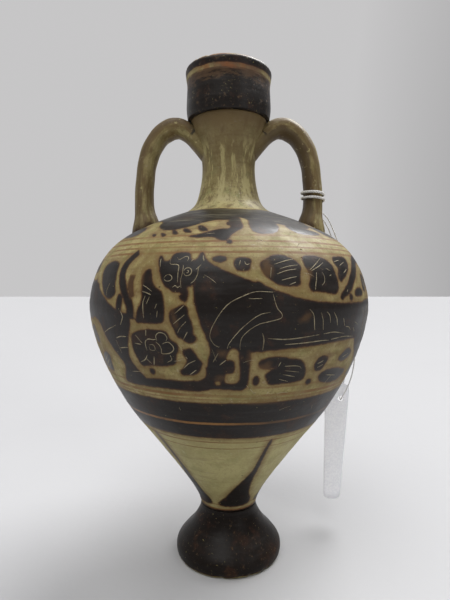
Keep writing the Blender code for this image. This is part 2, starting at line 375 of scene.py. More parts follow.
class Finish:
    """A material, with short calls for the nodes that these finishes use. Lengths in it are in metres."""

    def __init__(self, name, **values):
        self.material = bpy.data.materials.new(name)
        self.material.use_nodes = True
        self.tree = self.material.node_tree
        self.shader = self.tree.nodes["Principled BSDF"]
        for socket, value in values.items():
            self.shader.inputs[socket.replace("_", " ")].default_value = value
        self.place = self.node("ShaderNodeTexCoord").outputs["Object"]

    def node(self, kind, **settings):
        made = self.tree.nodes.new(kind)
        for setting, value in settings.items():
            setattr(made, setting, value)
        return made

    def feed(self, socket, value):
        if isinstance(value, bpy.types.NodeSocket):
            self.tree.links.new(value, socket)
        else:
            socket.default_value = value

    def fed(self, kind, values, **settings):
        """A new node whose first sockets get these values."""
        made = self.node(kind, **settings)
        for socket, value in zip(made.inputs, values):
            self.feed(socket, value)
        return made.outputs

    def math(self, operation, *values):
        return self.fed("ShaderNodeMath", values, operation=operation)[0]

    def chain(self, operation, values):
        found = values[0]
        for value in values[1:]:
            found = self.math(operation, found, value)
        return found

    def total(self, *values):
        return self.chain("ADD", values)

    def most(self, *values):
        return self.chain("MAXIMUM", values)

    def product(self, *values):
        return self.chain("MULTIPLY", values)

    def away(self, value, centre):
        """How far a value is from a centre, either way."""
        return self.math("ABSOLUTE", self.math("SUBTRACT", value, centre))

    def between(self, share, one, two):
        """The number a share of the way from one to two."""
        return self.total(self.product(one, self.math("SUBTRACT", 1.0, share)), self.product(two, share))

    def ramp(self, value, low, high, start=0.0, end=1.0):
        """start below low, end above high, and smooth in between; low may be the larger one."""
        values = (value, low, high, start, end)
        return self.fed("ShaderNodeMapRange", values, interpolation_type="SMOOTHSTEP")[0]

    def attribute(self, name):
        return self.node("ShaderNodeAttribute", attribute_name=name).outputs["Fac"]

    def axes(self, vector=None):
        return self.fed("ShaderNodeSeparateXYZ", (vector or self.place,))

    def vector(self, x, y, z):
        return self.fed("ShaderNodeCombineXYZ", (x, y, z))[0]

    def squeezed(self, share):
        """A space in which things are drawn out upwards."""
        made = self.node("ShaderNodeMapping")
        self.feed(made.inputs["Vector"], self.place)
        made.inputs["Scale"].default_value = (1, 1, share)
        return made.outputs[0]

    def texture(self, kind, size, vector=None):
        """A texture node whose lumps or cells are about that size."""
        made = self.node(kind)
        self.feed(made.inputs["Vector"], vector or self.place)
        made.inputs["Scale"].default_value = 1 / size
        return made

    def noise(self, size, detail=3.0, roughness=0.55, vector=None):
        """Noise from 0 to 1."""
        made = self.texture("ShaderNodeTexNoise", size, vector)
        made.inputs["Detail"].default_value = detail
        made.inputs["Roughness"].default_value = roughness
        return made.outputs["Fac"]

    def centred(self, value, amount):
        """A 0 to 1 value as one of that size either side of 0."""
        return self.math("MULTIPLY_ADD", value, 2 * amount, -amount)

    def dots(self, size, radius, share):
        """1 inside round dots of that radius, which a share of the cells of that size hold."""
        cells = self.texture("ShaderNodeTexVoronoi", size)
        inside = self.ramp(cells.outputs["Distance"], radius / size, 0.4 * radius / size)
        return self.product(inside, self.ramp(self.axes(cells.outputs["Color"])["X"], share, share - 0.02))

    def mixed(self, factor, one, two):
        made = self.node("ShaderNodeMix", data_type="RGBA")
        self.feed(made.inputs["Factor"], factor)
        for socket, colour in ((made.inputs[6], one), (made.inputs[7], two)):
            self.feed(socket, colour if isinstance(colour, bpy.types.NodeSocket) else (*colour, 1))
        return made.outputs[2]

    def glazed(self, colour, *glazes):
        """Covers a colour with others, each given as (value, low, high, share, tint): that share of the
        tint lies where the value is past high, and none where it is short of low."""
        for value, low, high, share, tint in glazes:
            colour = self.mixed(self.ramp(value, low, high, 0.0, share), colour, tint)
        return colour

    def surface(self, colour, roughness, height):
        """Feeds the shader. height is in metres."""
        bump = self.node("ShaderNodeBump")
        bump.inputs["Strength"].default_value = 1
        bump.inputs["Distance"].default_value = 1
        self.feed(bump.inputs["Height"], height)
        for socket, value in (("Base Color", colour), ("Roughness", roughness), ("Normal", bump.outputs[0])):
            self.feed(self.shader.inputs[socket], value)
        return self.material


CLAY_PALE = (0.400, 0.345, 0.155)
CLAY_FRESH = (0.440, 0.395, 0.185)
CLAY_MIDDLE = (0.300, 0.250, 0.098)
CLAY_DARK = (0.165, 0.118, 0.045)
CLAY_OLIVE = (0.225, 0.220, 0.088)
FRIEZE_CLAY = (0.185, 0.130, 0.036)
DIRT = (0.045, 0.036, 0.022)
SLIP_BLACK = (0.0115, 0.0085, 0.0070)
SLIP_BROWN = (0.040, 0.018, 0.010)
SLIP_GREY = (0.026, 0.023, 0.021)
WASH_BROWN = (0.135, 0.070, 0.026)
THIN_BROWN = (0.085, 0.050, 0.027)
RUBBED = (0.100, 0.062, 0.032)
LINE_BROWN = (0.180, 0.085, 0.030)
LIME = (0.55, 0.50, 0.38)
NECK_BROWN = (0.130, 0.084, 0.034)
RUST = (0.24, 0.085, 0.028)
RUST_DARK = (0.100, 0.050, 0.034)
# Painted sheen and wear: pale grey on the black near the neck.
SHEEN_AND_WEAR_GREY = (0.17, 0.155, 0.105)
BAND_ORANGE = (0.235, 0.115, 0.035)
# Painted shade: the darker side of each handle.
PAINTED_SHADE_CLAY = (0.085, 0.055, 0.028)
SCORED_DARK = (0.15, 0.12, 0.070)
SCORED_PALE = (0.34, 0.29, 0.18)
COTTON_SOIL = (0.42, 0.37, 0.28)
TIE_PALE = (0.80, 0.79, 0.76)
TIE_SHADE = (0.58, 0.565, 0.53)
THREAD_PALE = (0.86, 0.85, 0.83)
THREAD_SHADE = (0.70, 0.69, 0.66)
PAPER_WHITE = (0.90, 0.90, 0.94)
PAPER_SHADE = (0.80, 0.80, 0.86)
PAPER_CLOUD = (0.82, 0.81, 0.84)
PAPER_EDGE = (0.42, 0.41, 0.44)
FLOOR_PALE = (0.47, 0.47, 0.48)
FLOOR_SHADE = (0.43, 0.43, 0.44)

# The heights between which the mouth is left bare, one that is off the end of every painted band, and the
# share of a handle's length at which it is cracked.
BARE_BAND = (194.8, 196.9)
OFF_PIECE = 100
CRACK_ALONG = 0.838


def clay(finish, streaks):
    """Colour, roughness and height of bare clay: cloudy buff, brushed round, with dirt, pits and grains."""
    cloud = finish.noise(0.021, 5, 0.6)
    patch = finish.noise(0.0058, 4, 0.6)
    grain = finish.noise(0.0009, 4, 0.7)
    pits = finish.dots(0.0044, 0.00050, 0.28)
    specks = finish.dots(0.0021, 0.00021, 0.24)
    colour = finish.mixed(finish.ramp(cloud, 0.36, 0.64), CLAY_MIDDLE, CLAY_PALE)
    colour = finish.glazed(colour, (patch, 0.48, 0.70, 0.85, CLAY_OLIVE),
                           (cloud, 0.50, 0.30, 0.55, CLAY_DARK), (streaks, 0.50, 0.72, 0.70, CLAY_DARK),
                           (finish.noise(0.0019, 5, 0.7), 0.50, 0.72, 0.60, CLAY_DARK),
                           (grain, 0.54, 0.68, 0.75, CLAY_DARK), (grain, 0.42, 0.32, 0.35, LIME),
                           (finish.noise(0.0031, 5, 0.7), 0.60, 0.72, 0.45, LIME))
    colour = finish.mixed(finish.most(pits, specks), colour, DIRT)
    height = finish.total(finish.product(grain, 0.00006), finish.product(streaks, 0.00005),
                          finish.product(finish.noise(0.0027, 3), 0.00009), finish.product(pits, -0.00018))
    return colour, finish.ramp(patch, 0.3, 0.7, 0.46, 0.66), height


def slip(finish, streaks, depth, worn=0.0):
    """Colour, roughness and height of the black paint. depth is in millimetres in from its edge, and worn
    from 0 to 1 says how much of it has gone."""
    body = finish.noise(0.013, 4, 0.6)
    wear = finish.noise(0.0016, 4, 0.68)
    rubbed = finish.product(finish.ramp(finish.total(wear, worn * 0.060), 0.63, 0.72),
                            finish.ramp(finish.total(body, worn * 0.060), 0.40, 0.60))
    chips = finish.ramp(finish.total(finish.noise(0.0012, 4, 0.75), worn * 0.04), 0.685, 0.72, 0.0, 0.8)
    flecks = finish.dots(0.0028, 0.00020, 0.30)
    gone = finish.most(rubbed, flecks)
    brown = finish.most(finish.ramp(body, 0.52, 0.78, 0.0, 0.62), finish.ramp(depth, 0.85, 0.05, 0.0, 0.85))
    colour = finish.mixed(brown, SLIP_BLACK, SLIP_BROWN)
    colour = finish.glazed(colour, (streaks, 0.50, 0.75, 0.55, SLIP_GREY),
                           (finish.noise(0.0010, 4, 0.7), 0.55, 0.70, 0.6, SLIP_GREY),
                           (finish.noise(0.0065, 5, 0.7), 0.54, 0.68, 0.6, SLIP_BROWN))
    colour = finish.mixed(finish.product(rubbed, 0.6), colour, RUBBED)
    colour = finish.mixed(finish.most(finish.product(flecks, 0.7), chips), colour, CLAY_MIDDLE)
    roughness = finish.total(finish.ramp(body, 0.3, 0.7, 0.34, 0.48), finish.product(gone, 0.2))
    height = finish.total(finish.product(streaks, 0.00004), finish.product(wear, 0.00002),
                          finish.product(gone, -0.00003), finish.product(finish.noise(0.0034, 2), 0.00006))
    return colour, roughness, height


def painted(finish, bare, paint, black):
    """Puts the paint over the clay where black is 1. Both are colour, roughness and height."""
    height = finish.total(finish.between(black, bare[2], paint[2]), finish.product(black, 0.00005))
    return finish.mixed(black, bare[0], paint[0]), finish.between(black, bare[1], paint[1]), height


def ring_line(finish, position, centre, half, blur=0.14):
    """1 within half of centre, all in millimetres."""
    return finish.ramp(finish.away(position, centre), half + blur, half - blur)


def ring_space(finish, level, squeeze):
    """A space that goes round the jar without a seam, in which things drawn out round it are squeeze times
    as long as they are high. level is in millimetres."""
    across = finish.axes()
    return finish.vector(across["X"], across["Y"], finish.product(level, MM * squeeze))


# Brown lines round the body: distance down its outline, half thickness, and how strongly it was drawn.
BODY_LINES = ((32.2, 0.46, 0.80), (35.2, 0.48, 0.88), (37.7, 0.36, 0.82), (39.9, 0.46, 0.85),
              (84.9, 0.38, 0.62), (88.1, 0.56, 0.88), (89.7, 0.26, 0.55), (110.6, 0.36, 0.80),
              (114.4, 0.30, 0.75), (152.2, 0.26, 0.7), (154.6, 0.40, 0.9))
BAND_LINE = (100.4, 0.52)


def body_finish():
    finish = Finish("painted_clay", Specular_IOR_Level=0.21)
    arc = finish.attribute("arc")
    streaks = finish.noise(0.016, 4, 0.62, ring_space(finish, arc, 9))
    fray = finish.noise(0.0017, 3, 0.6)
    rough_edge = finish.total(finish.centred(finish.noise(0.0042, 3), 0.30), finish.centred(fray, 0.34),
                              finish.centred(finish.noise(0.0006, 2), 0.10))
    edge = finish.total(finish.attribute("slip"), rough_edge)
    black = finish.ramp(edge, 0.20, -0.24)

    wobble = finish.centred(finish.noise(0.020, 2, 0.5), 0.55)
    position = finish.total(arc, wobble, finish.centred(fray, 0.12))
    broken = finish.ramp(finish.noise(0.0105, 4, 0.65), 0.30, 0.58, 0.25, 1.0)
    lines = finish.most(*(finish.product(ring_line(finish, position, centre, half), strength)
                          for centre, half, strength in BODY_LINES))
    thin = finish.ramp(finish.noise(0.0075, 4), 0.32, 0.58, 0.25, 1.0)
    halo = finish.most(finish.ramp(edge, 0.80, 0.05, 0.0, 0.90),
                       finish.product(finish.ramp(edge, 3.2, 0.2, 0.0, 0.62), thin))
    bare = clay(finish, streaks)
    ground = finish.glazed(bare[0], (arc, 104.0, 112.0, 0.45, CLAY_FRESH),
                           (arc, 98.0, 86.0, 0.28, FRIEZE_CLAY))
    ground = finish.mixed(halo, ground, WASH_BROWN)
    ground = finish.mixed(finish.product(lines, broken), ground, LINE_BROWN)

    paint = slip(finish, streaks, finish.product(edge, -1.0))
    colour, roughness, height = painted(finish, (ground, *bare[1:]), paint, black)
    wash = finish.total(finish.attribute("wash"), rough_edge, rough_edge)
    colour = finish.glazed(colour, (wash, 1.2, -1.2, 0.50, WASH_BROWN))
    band = finish.product(ring_line(finish, position, *BAND_LINE), broken,
                          finish.ramp(finish.axes()["X"], 0.016, -0.004, 0.35, 1.0))
    colour = finish.mixed(band, colour, BAND_ORANGE)
    rings = finish.noise(0.0130, 5, 0.7, ring_space(finish, arc, 14))
    # Painted sheen: pale grey arcs on the black near the neck stand in for a reflection there, along with
    # some wear.
    worn = finish.product(finish.ramp(arc, 26.0, 18.0), finish.ramp(rings, 0.52, 0.62), black, 0.6)
    return finish.surface(finish.mixed(worn, colour, SHEEN_AND_WEAR_GREY), roughness, height)


def height_finish(name, bands, run, tint, shine=0.3, lean=0.0, worn=0.0, thin=None):
    """Clay with black paint in bands of height, as (low, high) in millimetres. run is how far its edge
    strays, and lean how much lower the bands lie for each millimetre to the right. tint colours the clay.
    The paint goes thin and brown between the two heights of thin, up to the bare band above it."""
    finish = Finish(name, Specular_IOR_Level=shine)
    level = finish.product(finish.axes()["Z"], 1 / MM)
    if lean:
        level = finish.total(level, finish.product(finish.axes()["X"], lean / MM))
    streaks = finish.noise(0.012, 4, 0.62, ring_space(finish, level, 9))
    bare = clay(finish, streaks)
    position = finish.total(level, finish.total(finish.centred(finish.noise(0.0065, 4), run),
                                                finish.centred(finish.noise(0.0011, 3), 0.25)))
    outside = [finish.math("SUBTRACT", finish.away(position, (low + high) / 2), (high - low) / 2)
               for low, high in bands]
    edge = finish.chain("MINIMUM", outside)
    ground = tint(finish, finish.glazed(bare[0], (edge, 0.9, 0.05, 0.5, WASH_BROWN)), level)
    paint = slip(finish, streaks, finish.product(edge, -1.0), worn)
    colour, roughness, height = painted(finish, (ground, *bare[1:]), paint, finish.ramp(edge, 0.12, -0.12))
    if thin:
        patchy = finish.noise(0.0050, 5, 0.7, ring_space(finish, level, 3))
        brown = finish.product(finish.ramp(finish.total(level, finish.centred(patchy, 6.0)), *thin),
                               finish.ramp(level, BARE_BAND[0] + 0.8, BARE_BAND[0] + 0.4),
                               finish.ramp(patchy, 0.36, 0.56, 0.35, 0.9))
        colour = finish.mixed(brown, colour, THIN_BROWN)
    return finish.surface(colour, roughness, height)


def mouth_tint(finish, colour, level):
    """The worn lip, the rusty stain in the middle of the band left bare, and painted shade that darkens the
    inside of the mouth more the deeper it goes.
    """
    across = finish.axes()
    dull = finish.ramp(finish.noise(0.007, 4), 0.30, 0.62, 0.45, 0.85)
    middle = finish.ramp(finish.away(across["X"], 0.003), 0.015, 0.006, 0.25, 1.0)
    colour = finish.mixed(finish.product(dull, middle, finish.ramp(level, 192.0, 193.0)), colour, RUST_DARK)
    lip = finish.product(finish.ramp(level, 199.0, 199.6),
                         finish.ramp(finish.noise(0.0028, 4, 0.7), 0.42, 0.56), 0.5)
    colour = finish.mixed(lip, colour, CLAY_PALE)
    rust = finish.product(finish.ramp(finish.away(across["X"], -0.002), 0.014, 0.004),
                          finish.ramp(across["Y"], 0.0, -0.012),
                          finish.ramp(finish.noise(0.004, 4), 0.35, 0.6))
    colour = finish.mixed(finish.product(rust, 0.7), colour, RUST)
    # Painted shade: the mouth's inside wall, darker the deeper down it is.
    from_axis = finish.total(*(finish.product(across[axis], across[axis]) for axis in "XY"))
    inside = finish.product(finish.ramp(from_axis, 0.0142 ** 2, 0.0134 ** 2),
                            finish.ramp(level, 199.2, 192.0))
    return finish.mixed(inside, colour, CLAY_DARK)


def neck_tint(finish, colour, level):
    """Darker under the mouth and at the foot of the neck, with pale runs down it."""
    runs = finish.noise(0.0036, 5, 0.65, finish.squeezed(0.16))
    fine = finish.noise(0.0011, 4, 0.6, finish.squeezed(0.10))
    pale = finish.product(finish.ramp(runs, 0.52, 0.58), finish.ramp(level, 173.0, 166.0), 0.85)
    colour = finish.glazed(colour, (level, 148.0, 165.0, 0.65, NECK_BROWN))
    colour = finish.mixed(pale, colour, CLAY_PALE)
    return finish.glazed(colour, (runs, 0.46, 0.36, 0.75, NECK_BROWN), (fine, 0.52, 0.66, 0.6, CLAY_DARK),
                         (level, 172.0, 179.5, 0.8, NECK_BROWN))


def foot_tint(finish, colour, level):
    """Clay where the foot's lowest edge has rubbed bare."""
    return finish.glazed(colour, (level, 1.6, 0.4, 0.7, CLAY_PALE))


def handle_finish(name, painted_shade_side, painted_shade_share):
    """Bare clay stained along its length, with painted shade down one side. Attribute along is the share of
    the way from the shoulder to the neck, and inner is 1 on the side of the neck and -1 on the other; the
    third argument picks which of these sides gets the painted shade, and the fourth says how dark it is."""
    finish = Finish(name, Specular_IOR_Level=0.24)
    along, across, inner = (finish.attribute(name) for name in ("along", "across", "inner"))
    lengthwise = finish.noise(0.0030, 4, 0.62, finish.vector(finish.product(across, 0.0055),
                                                             finish.product(inner, 0.0042),
                                                             finish.product(along, 0.016)))
    bare = clay(finish, lengthwise)
    # Painted shade: one side of the handle is darkened as if less light falls on it.
    painted_shade = finish.total(finish.product(inner, painted_shade_side), finish.centred(finish.noise(0.0035, 4), 0.35))
    at_shoulder = finish.total(along, finish.centred(finish.noise(0.004, 4), 0.08))
    at_neck = finish.total(along, finish.centred(finish.noise(0.004, 3), 0.05))
    bent = finish.total(along, finish.centred(finish.noise(0.003, 3), 0.02))
    crack = finish.product(finish.ramp(finish.away(bent, CRACK_ALONG), 0.012, 0.005),
                           finish.ramp(inner, 0.35, 0.0), finish.ramp(finish.noise(0.002, 3), 0.38, 0.5))
    chips = finish.ramp(finish.noise(0.0024, 4, 0.7), 0.62, 0.67, 0.0, 0.8)
    colour = finish.mixed(0.42, bare[0], NECK_BROWN)
    colour = finish.glazed(colour, (lengthwise, 0.44, 0.58, 0.85, NECK_BROWN),
                           (lengthwise, 0.40, 0.32, 0.55, CLAY_PALE),
                           (painted_shade, 0.0, 0.30, painted_shade_share, PAINTED_SHADE_CLAY),
                           (at_shoulder, 0.09, 0.04, 0.9, SLIP_BROWN), (at_neck, 0.80, 0.90, 0.55, CLAY_DARK))
    colour = finish.mixed(chips, finish.mixed(crack, colour, DIRT), CLAY_PALE)
    return finish.surface(colour, bare[1], finish.total(bare[2], finish.product(chips, -0.00008)))


def scored_finish():
    """Clay showing in the lines scored through the paint."""
    finish = Finish("scored_clay", Specular_IOR_Level=0.3)
    patch = finish.noise(0.004, 3)
    colour = finish.mixed(finish.ramp(patch, 0.35, 0.65), SCORED_DARK, SCORED_PALE)
    colour = finish.glazed(colour, (finish.noise(0.0011, 3), 0.55, 0.70, 0.8, SLIP_BROWN))
    return finish.surface(colour, finish.ramp(patch, 0.3, 0.7, 0.6, 0.8), finish.product(patch, 0.00003))


def cotton_finish(name, pale, shade, fibre):
    """Cotton whose fluff is about fibre metres across."""
    finish = Finish(name, Sheen_Weight=0.35, Sheen_Roughness=0.5)
    fluff = finish.noise(fibre, 4, 0.7)
    colour = finish.mixed(finish.ramp(fluff, 0.35, 0.65), shade, pale)
    colour = finish.glazed(colour, (finish.noise(0.003, 3), 0.55, 0.8, 0.4, COTTON_SOIL))
    return finish.surface(colour, finish.ramp(fluff, 0.3, 0.7, 0.78, 0.95), finish.product(fluff, 0.00012))


def paper_finish():
    finish = Finish("tag_paper", Subsurface_Weight=0.8, Subsurface_Scale=0.002, Subsurface_Radius=(1, 1, 1))
    pulp = finish.noise(0.0009, 4, 0.65)
    colour = finish.mixed(finish.ramp(pulp, 0.35, 0.68), PAPER_SHADE, PAPER_WHITE)
    colour = finish.glazed(colour, (finish.noise(0.011, 3), 0.45, 0.75, 0.5, PAPER_CLOUD),
                           (finish.attribute("rim"), 0.93, 1.0, 0.55, PAPER_EDGE))
    return finish.surface(colour, finish.ramp(pulp, 0.3, 0.7, 0.48, 0.62), finish.product(pulp, 0.00003))


def floor_finish():
    finish = Finish("pale_floor")
    cloud = finish.noise(0.12, 3)
    colour = finish.mixed(cloud, FLOOR_SHADE, FLOOR_PALE)
    height = finish.product(finish.noise(0.004, 3), 0.0001)
    return finish.surface(colour, finish.ramp(cloud, 0.3, 0.7, 0.75, 0.9), height)


# ------------------------------
# The painted animals. Outlines are (azimuth, distance down the body's outline from the neck).
# ------------------------------

HEAD = [(-26, 41.5), (-24.8, 41.0), (-23.3, 43.0), (-21.2, 42.6), (-20.2, 40.4), (-16.5, 39.8), (-14, 40.4),
        (-13, 42.8), (-11.4, 42.4), (-10.4, 40.0), (-9.2, 40.2), (-8.0, 43.2), (-8.6, 47.0), (-12.2, 51.2),
        (-13.6, 51.8), (-13.2, 53.6), (-14.6, 55.0), (-16.1, 53.7), (-17.6, 53.6), (-19.8, 52.6),
        (-22.2, 50.8), (-24.0, 47.5), (-25.2, 44.5)]
FOREPART = [(-9, 42.5), (-6, 44.2), (-3, 45.7), (0, 47.1), (4, 48.6), (8, 50.1), (12, 51.7), (14, 56),
            (14, 66), (12, 71.5), (7.2, 71.8), (6.9, 74), (6.8, 78), (6.7, 81.5), (6.0, 84.2), (4, 85.7),
            (-2, 85.3), (-6, 85.2), (-10, 86), (-13, 85.6), (-13.5, 83), (-10.5, 81.9), (-8.6, 80.5),
            (-8, 77.5), (-7, 74), (-6.4, 71), (-7.2, 68), (-8.6, 64.5), (-10, 60.5), (-11.2, 56),
            (-11.6, 51.5), (-11, 48)]
CHIN_SPOT = (-14.6, 54.9, 1.55, 1.4, 0)
LEG_GAP = [(-0.4, 71.6), (0.8, 70.6), (2.6, 71.4), (3.0, 74), (3.3, 78), (3.3, 81.3), (2.2, 82.9),
           (-1.0, 82.9), (-1.8, 81.5), (-1.2, 79.6), (0.6, 79.3), (1.6, 78), (1.6, 75.3), (0.2, 74.4),
           (-1.2, 74.2)]
PAW_CHIP = [(-5.2, 82.3), (-3.5, 82.2), (-3.6, 83.5), (-5.0, 83.5)]
BARREL = [(8, 50.1), (12, 51.7), (17, 53.5), (22, 55), (28, 56.1), (34, 56.8), (42, 57.2), (52, 57.4),
          (60, 57.2), (68, 57), (66, 64), (60, 69.5), (52, 69.9), (46, 70), (40, 70.2), (30, 70.8),
          (20, 71.2), (10, 71.6), (6, 71), (5, 60)]
REAR = [(58, 57.3), (68, 56.6), (76, 57.2), (82, 59), (85.5, 62.5), (86, 67), (84, 71.5), (82.5, 75),
        (83.5, 79), (84.5, 82.5), (84, 85.8), (77, 86.2), (75.5, 85), (76.8, 82), (75.5, 78.5), (72.5, 76),
        (70.8, 78), (70.5, 82), (69, 85.6), (61, 86), (59.6, 84.6), (62, 82.6), (62.5, 80), (59, 76.6),
        (55.5, 73.4), (53.3, 69.8), (54, 63)]
# Strokes are (azimuth, distance down, half width).
TAIL = [(80, 59, 1.8), (79, 52, 1.65), (76, 45, 1.6), (70, 41, 1.6), (63, 41.6, 1.6), (57, 45, 1.65),
        (52, 48.6, 1.65), (48, 51.6, 1.55), (44.5, 53.7, 1.25), (42.2, 54.8, 0.95), (41.2, 56, 0.9)]

SECOND_REAR = [(-64, 49.8), (-60, 50.4), (-56, 52.4), (-52, 54.6), (-48, 56.7), (-44, 58.6), (-41.5, 59.6),
               (-38, 60.3), (-35.5, 60.3), (-35, 63.5), (-36.4, 67.5), (-37.8, 71.5), (-38.5, 75.5),
               (-37.2, 78.5), (-35, 81), (-33, 83), (-33, 86), (-44, 86.3), (-46.5, 85.4), (-44.5, 82),
               (-43, 79), (-45, 76.3), (-48, 73.3), (-51, 70), (-53, 66.5), (-56, 63.8), (-60, 62.6),
               (-66, 63.2)]
SECOND_BARREL = [(-56, 52.5), (-56, 63), (-60, 62.8), (-68, 63.6), (-80, 66.2), (-90, 69), (-98, 71.6),
                 (-100, 64), (-97, 53), (-92, 51), (-82, 49.8), (-72, 49.4), (-62, 50)]
SECOND_TAIL = [(-35, 62, 1.8), (-34.8, 58.5, 1.65), (-37, 55, 1.6), (-39.5, 51.5, 1.6), (-41.2, 48, 1.6),
               (-41, 44.5, 1.55), (-39, 41.5, 1.5), (-36.8, 39.3, 1.2)]
TAIL_SHADOW = [(-29.8, 39.3, 0.7), (-31.5, 42, 0.9), (-34, 45, 1.0), (-35.6, 48, 1.05), (-35.6, 51.5, 1.1),
               (-34.2, 55, 1.0)]
HAUNCH_SPOT = [(-40.5, 54), (-39, 55.2), (-38.8, 57.5), (-39.6, 60.5), (-41.8, 60.3), (-42, 57.5),
               (-41.6, 55.2)]
GROUND_STRIP = [(-12, 82.3), (-16, 82.5), (-26, 82.4), (-36, 83.2), (-45, 84.6), (-42, 86.3), (-30, 86.2),
                (-18, 86.2), (-10, 86)]

LEFT_OVAL = [(-56, 44), (-52, 42.5), (-47, 42.7), (-45.2, 44), (-45, 47.5), (-44, 51), (-43, 54), (-46, 56),
             (-50, 55), (-54, 51), (-57, 47)]

# What fills the space in front of the animal, above its back, and under its belly.
ROSETTE = [(-33.5, 66.5), (-31, 65.6), (-27.5, 65.2), (-23, 65.2), (-20.5, 66), (-19.5, 68), (-17.3, 69.5),
           (-17, 71.5), (-18, 73.5), (-18.5, 76), (-21, 77.2), (-25, 77.5), (-29, 77.7), (-33, 78.4),
           (-34.5, 76), (-35.8, 72.5), (-35.5, 69.5), (-35, 67.5)]
FRONT_FILL = [
    ROSETTE,
    [(-30.5, 47), (-29, 45.8), (-27.5, 46.5), (-26.5, 49.5), (-25, 51.8), (-22.5, 53), (-21.5, 55.5),
     (-21, 59), (-21.5, 62.5), (-24, 63.3), (-29, 63.3), (-32.3, 63), (-31.5, 59), (-30, 56), (-30.5, 52),
     (-31, 49)],
    [(-17, 58), (-15, 57.2), (-13.2, 58), (-12.8, 60.5), (-12, 62), (-11.6, 64), (-11.5, 66), (-10.5, 67.2),
     (-11.5, 68.8), (-13.5, 69), (-15.5, 67.8), (-17, 67), (-18.5, 64), (-19.5, 61), (-19, 59)],
    [(-15.5, 71.5), (-13, 70.8), (-11.5, 72), (-10.5, 74), (-9, 75.5), (-9.5, 77), (-11, 79.3),
     (-13.5, 80.3), (-17, 80.3), (-17.5, 79), (-15.5, 77), (-14.5, 75), (-15.5, 73)],
    [(-30.3, 79.2), (-29, 78.6), (-27.8, 79.2), (-28, 80.6), (-29.1, 81.2), (-30.3, 80.5)],
]
BACK_FILL = [
    [(-5.8, 42), (-3.6, 41.3), (-1.3, 41.8), (-1.2, 43.1), (-3.4, 43.8), (-5.6, 43.2)],
    [(1.2, 44), (2.5, 42.3), (5, 42), (7.2, 42.6), (7, 44.5), (6.3, 46.3), (4, 46.9), (2, 46.3)],
    [(10, 44), (13, 42), (17, 40.8), (21, 41.5), (23.5, 43), (25, 45), (24, 48), (23.5, 51), (20, 51.6),
     (16, 51.2), (13, 49.3), (10.8, 47)],
    [(26.5, 42), (28, 41), (33, 40.8), (36, 41.5), (39, 43), (40.3, 44.5), (40.5, 47), (41, 49.5),
     (40.5, 52.5), (38.5, 54.2), (35, 54), (30, 53.3), (27.5, 53.2), (26.8, 51), (28, 48), (26.8, 45)],
    [(43, 41), (47, 40.6), (52, 41), (52.5, 43), (51, 45), (48.5, 47), (45.5, 49), (42.5, 50.2), (41.8, 48),
     (43, 45.5), (41.8, 43)],
    [(50.5, 54.8), (52, 52.9), (55, 52.2), (58.5, 52.8), (58.3, 54.8), (54, 55.4)],
    [(46.2, 56.3), (46.6, 54.8), (48, 54.4), (49, 55.4), (48, 56.6)],
]
BELLY_FILL = [
    [(9.5, 75.5), (12.5, 73.9), (17, 73.8), (21, 74.5), (25.5, 75.5), (27.5, 77.5), (28.5, 80),
     (28.3, 82.5), (25, 83.6), (20, 83.8), (15, 83.9), (13, 82), (12.5, 80), (14, 78.5), (16, 77.4),
     (13, 77.8), (10.5, 77.5)],
    [(8.3, 81), (9.3, 80), (10.3, 80.9), (10.2, 83), (9.2, 83.9), (8.2, 82.8)],
    [(30, 83.6), (31, 82.8), (32.4, 83.3), (32.6, 84.7), (31.4, 85.3), (30.2, 84.8)],
    [(31.8, 77.5), (33, 75.2), (35.5, 74.6), (38.2, 75.8), (37.3, 78), (36, 80), (33, 80.1)],
    [(44.5, 76.5), (48, 74), (51, 73.5), (54, 75), (53, 77), (49, 78.2), (46, 77.8)],
    [(35.8, 82.5), (38, 80.8), (43, 80.2), (50, 81.3), (55, 83), (52, 85.5), (46, 86.3), (40, 85.5),
     (37, 84.3)],
]
# Fillers where the design goes round out of sight, as (azimuth, distance down, half width, half height,
# lean).
FAR_FILL = [(-69, 44.2, 3.8, 2.6, 10), (-78, 44.4, 3.4, 2.3, -15), (-86.5, 44.6, 3.2, 2.6, 8),
            (-95, 45.0, 3.2, 2.9, 20), (-103, 43.0, 3.0, 2.2, -5), (-58, 79.5, 4.2, 3.8, 15),
            (-64, 69.4, 3.6, 3.2, -20), (-69, 80.5, 3.2, 3.6, 0), (-75, 72.0, 3.8, 2.6, 12),
            (-79, 81.0, 4.0, 3.0, -8), (-87, 76.5, 2.8, 3.2, 25), (-91.5, 82.0, 2.6, 2.4, 0),
            (-133.5, 46.5, 3.0, 3.6, 10), (-131, 57, 3.0, 4.2, -12), (-130, 80, 3.2, 2.8, 8),
            (64, 50.5, 3.0, 3.2, 18), (71, 49.5, 2.6, 4.2, 0), (91.5, 43.2, 3.6, 2.2, 0),
            (91.5, 50.0, 3.4, 3.2, 14), (91.5, 57.5, 2.8, 2.8, 0), (91.5, 75.5, 3.0, 3.0, -20),
            (91.5, 82.4, 3.4, 2.3, 0), (119, 50.5, 3.0, 3.2, -18), (112, 49.5, 2.6, 4.2, 0)]
FAR_ROSETTES = [(-127.5, 69, 6.0), (91.5, 66.2, 4.4)]

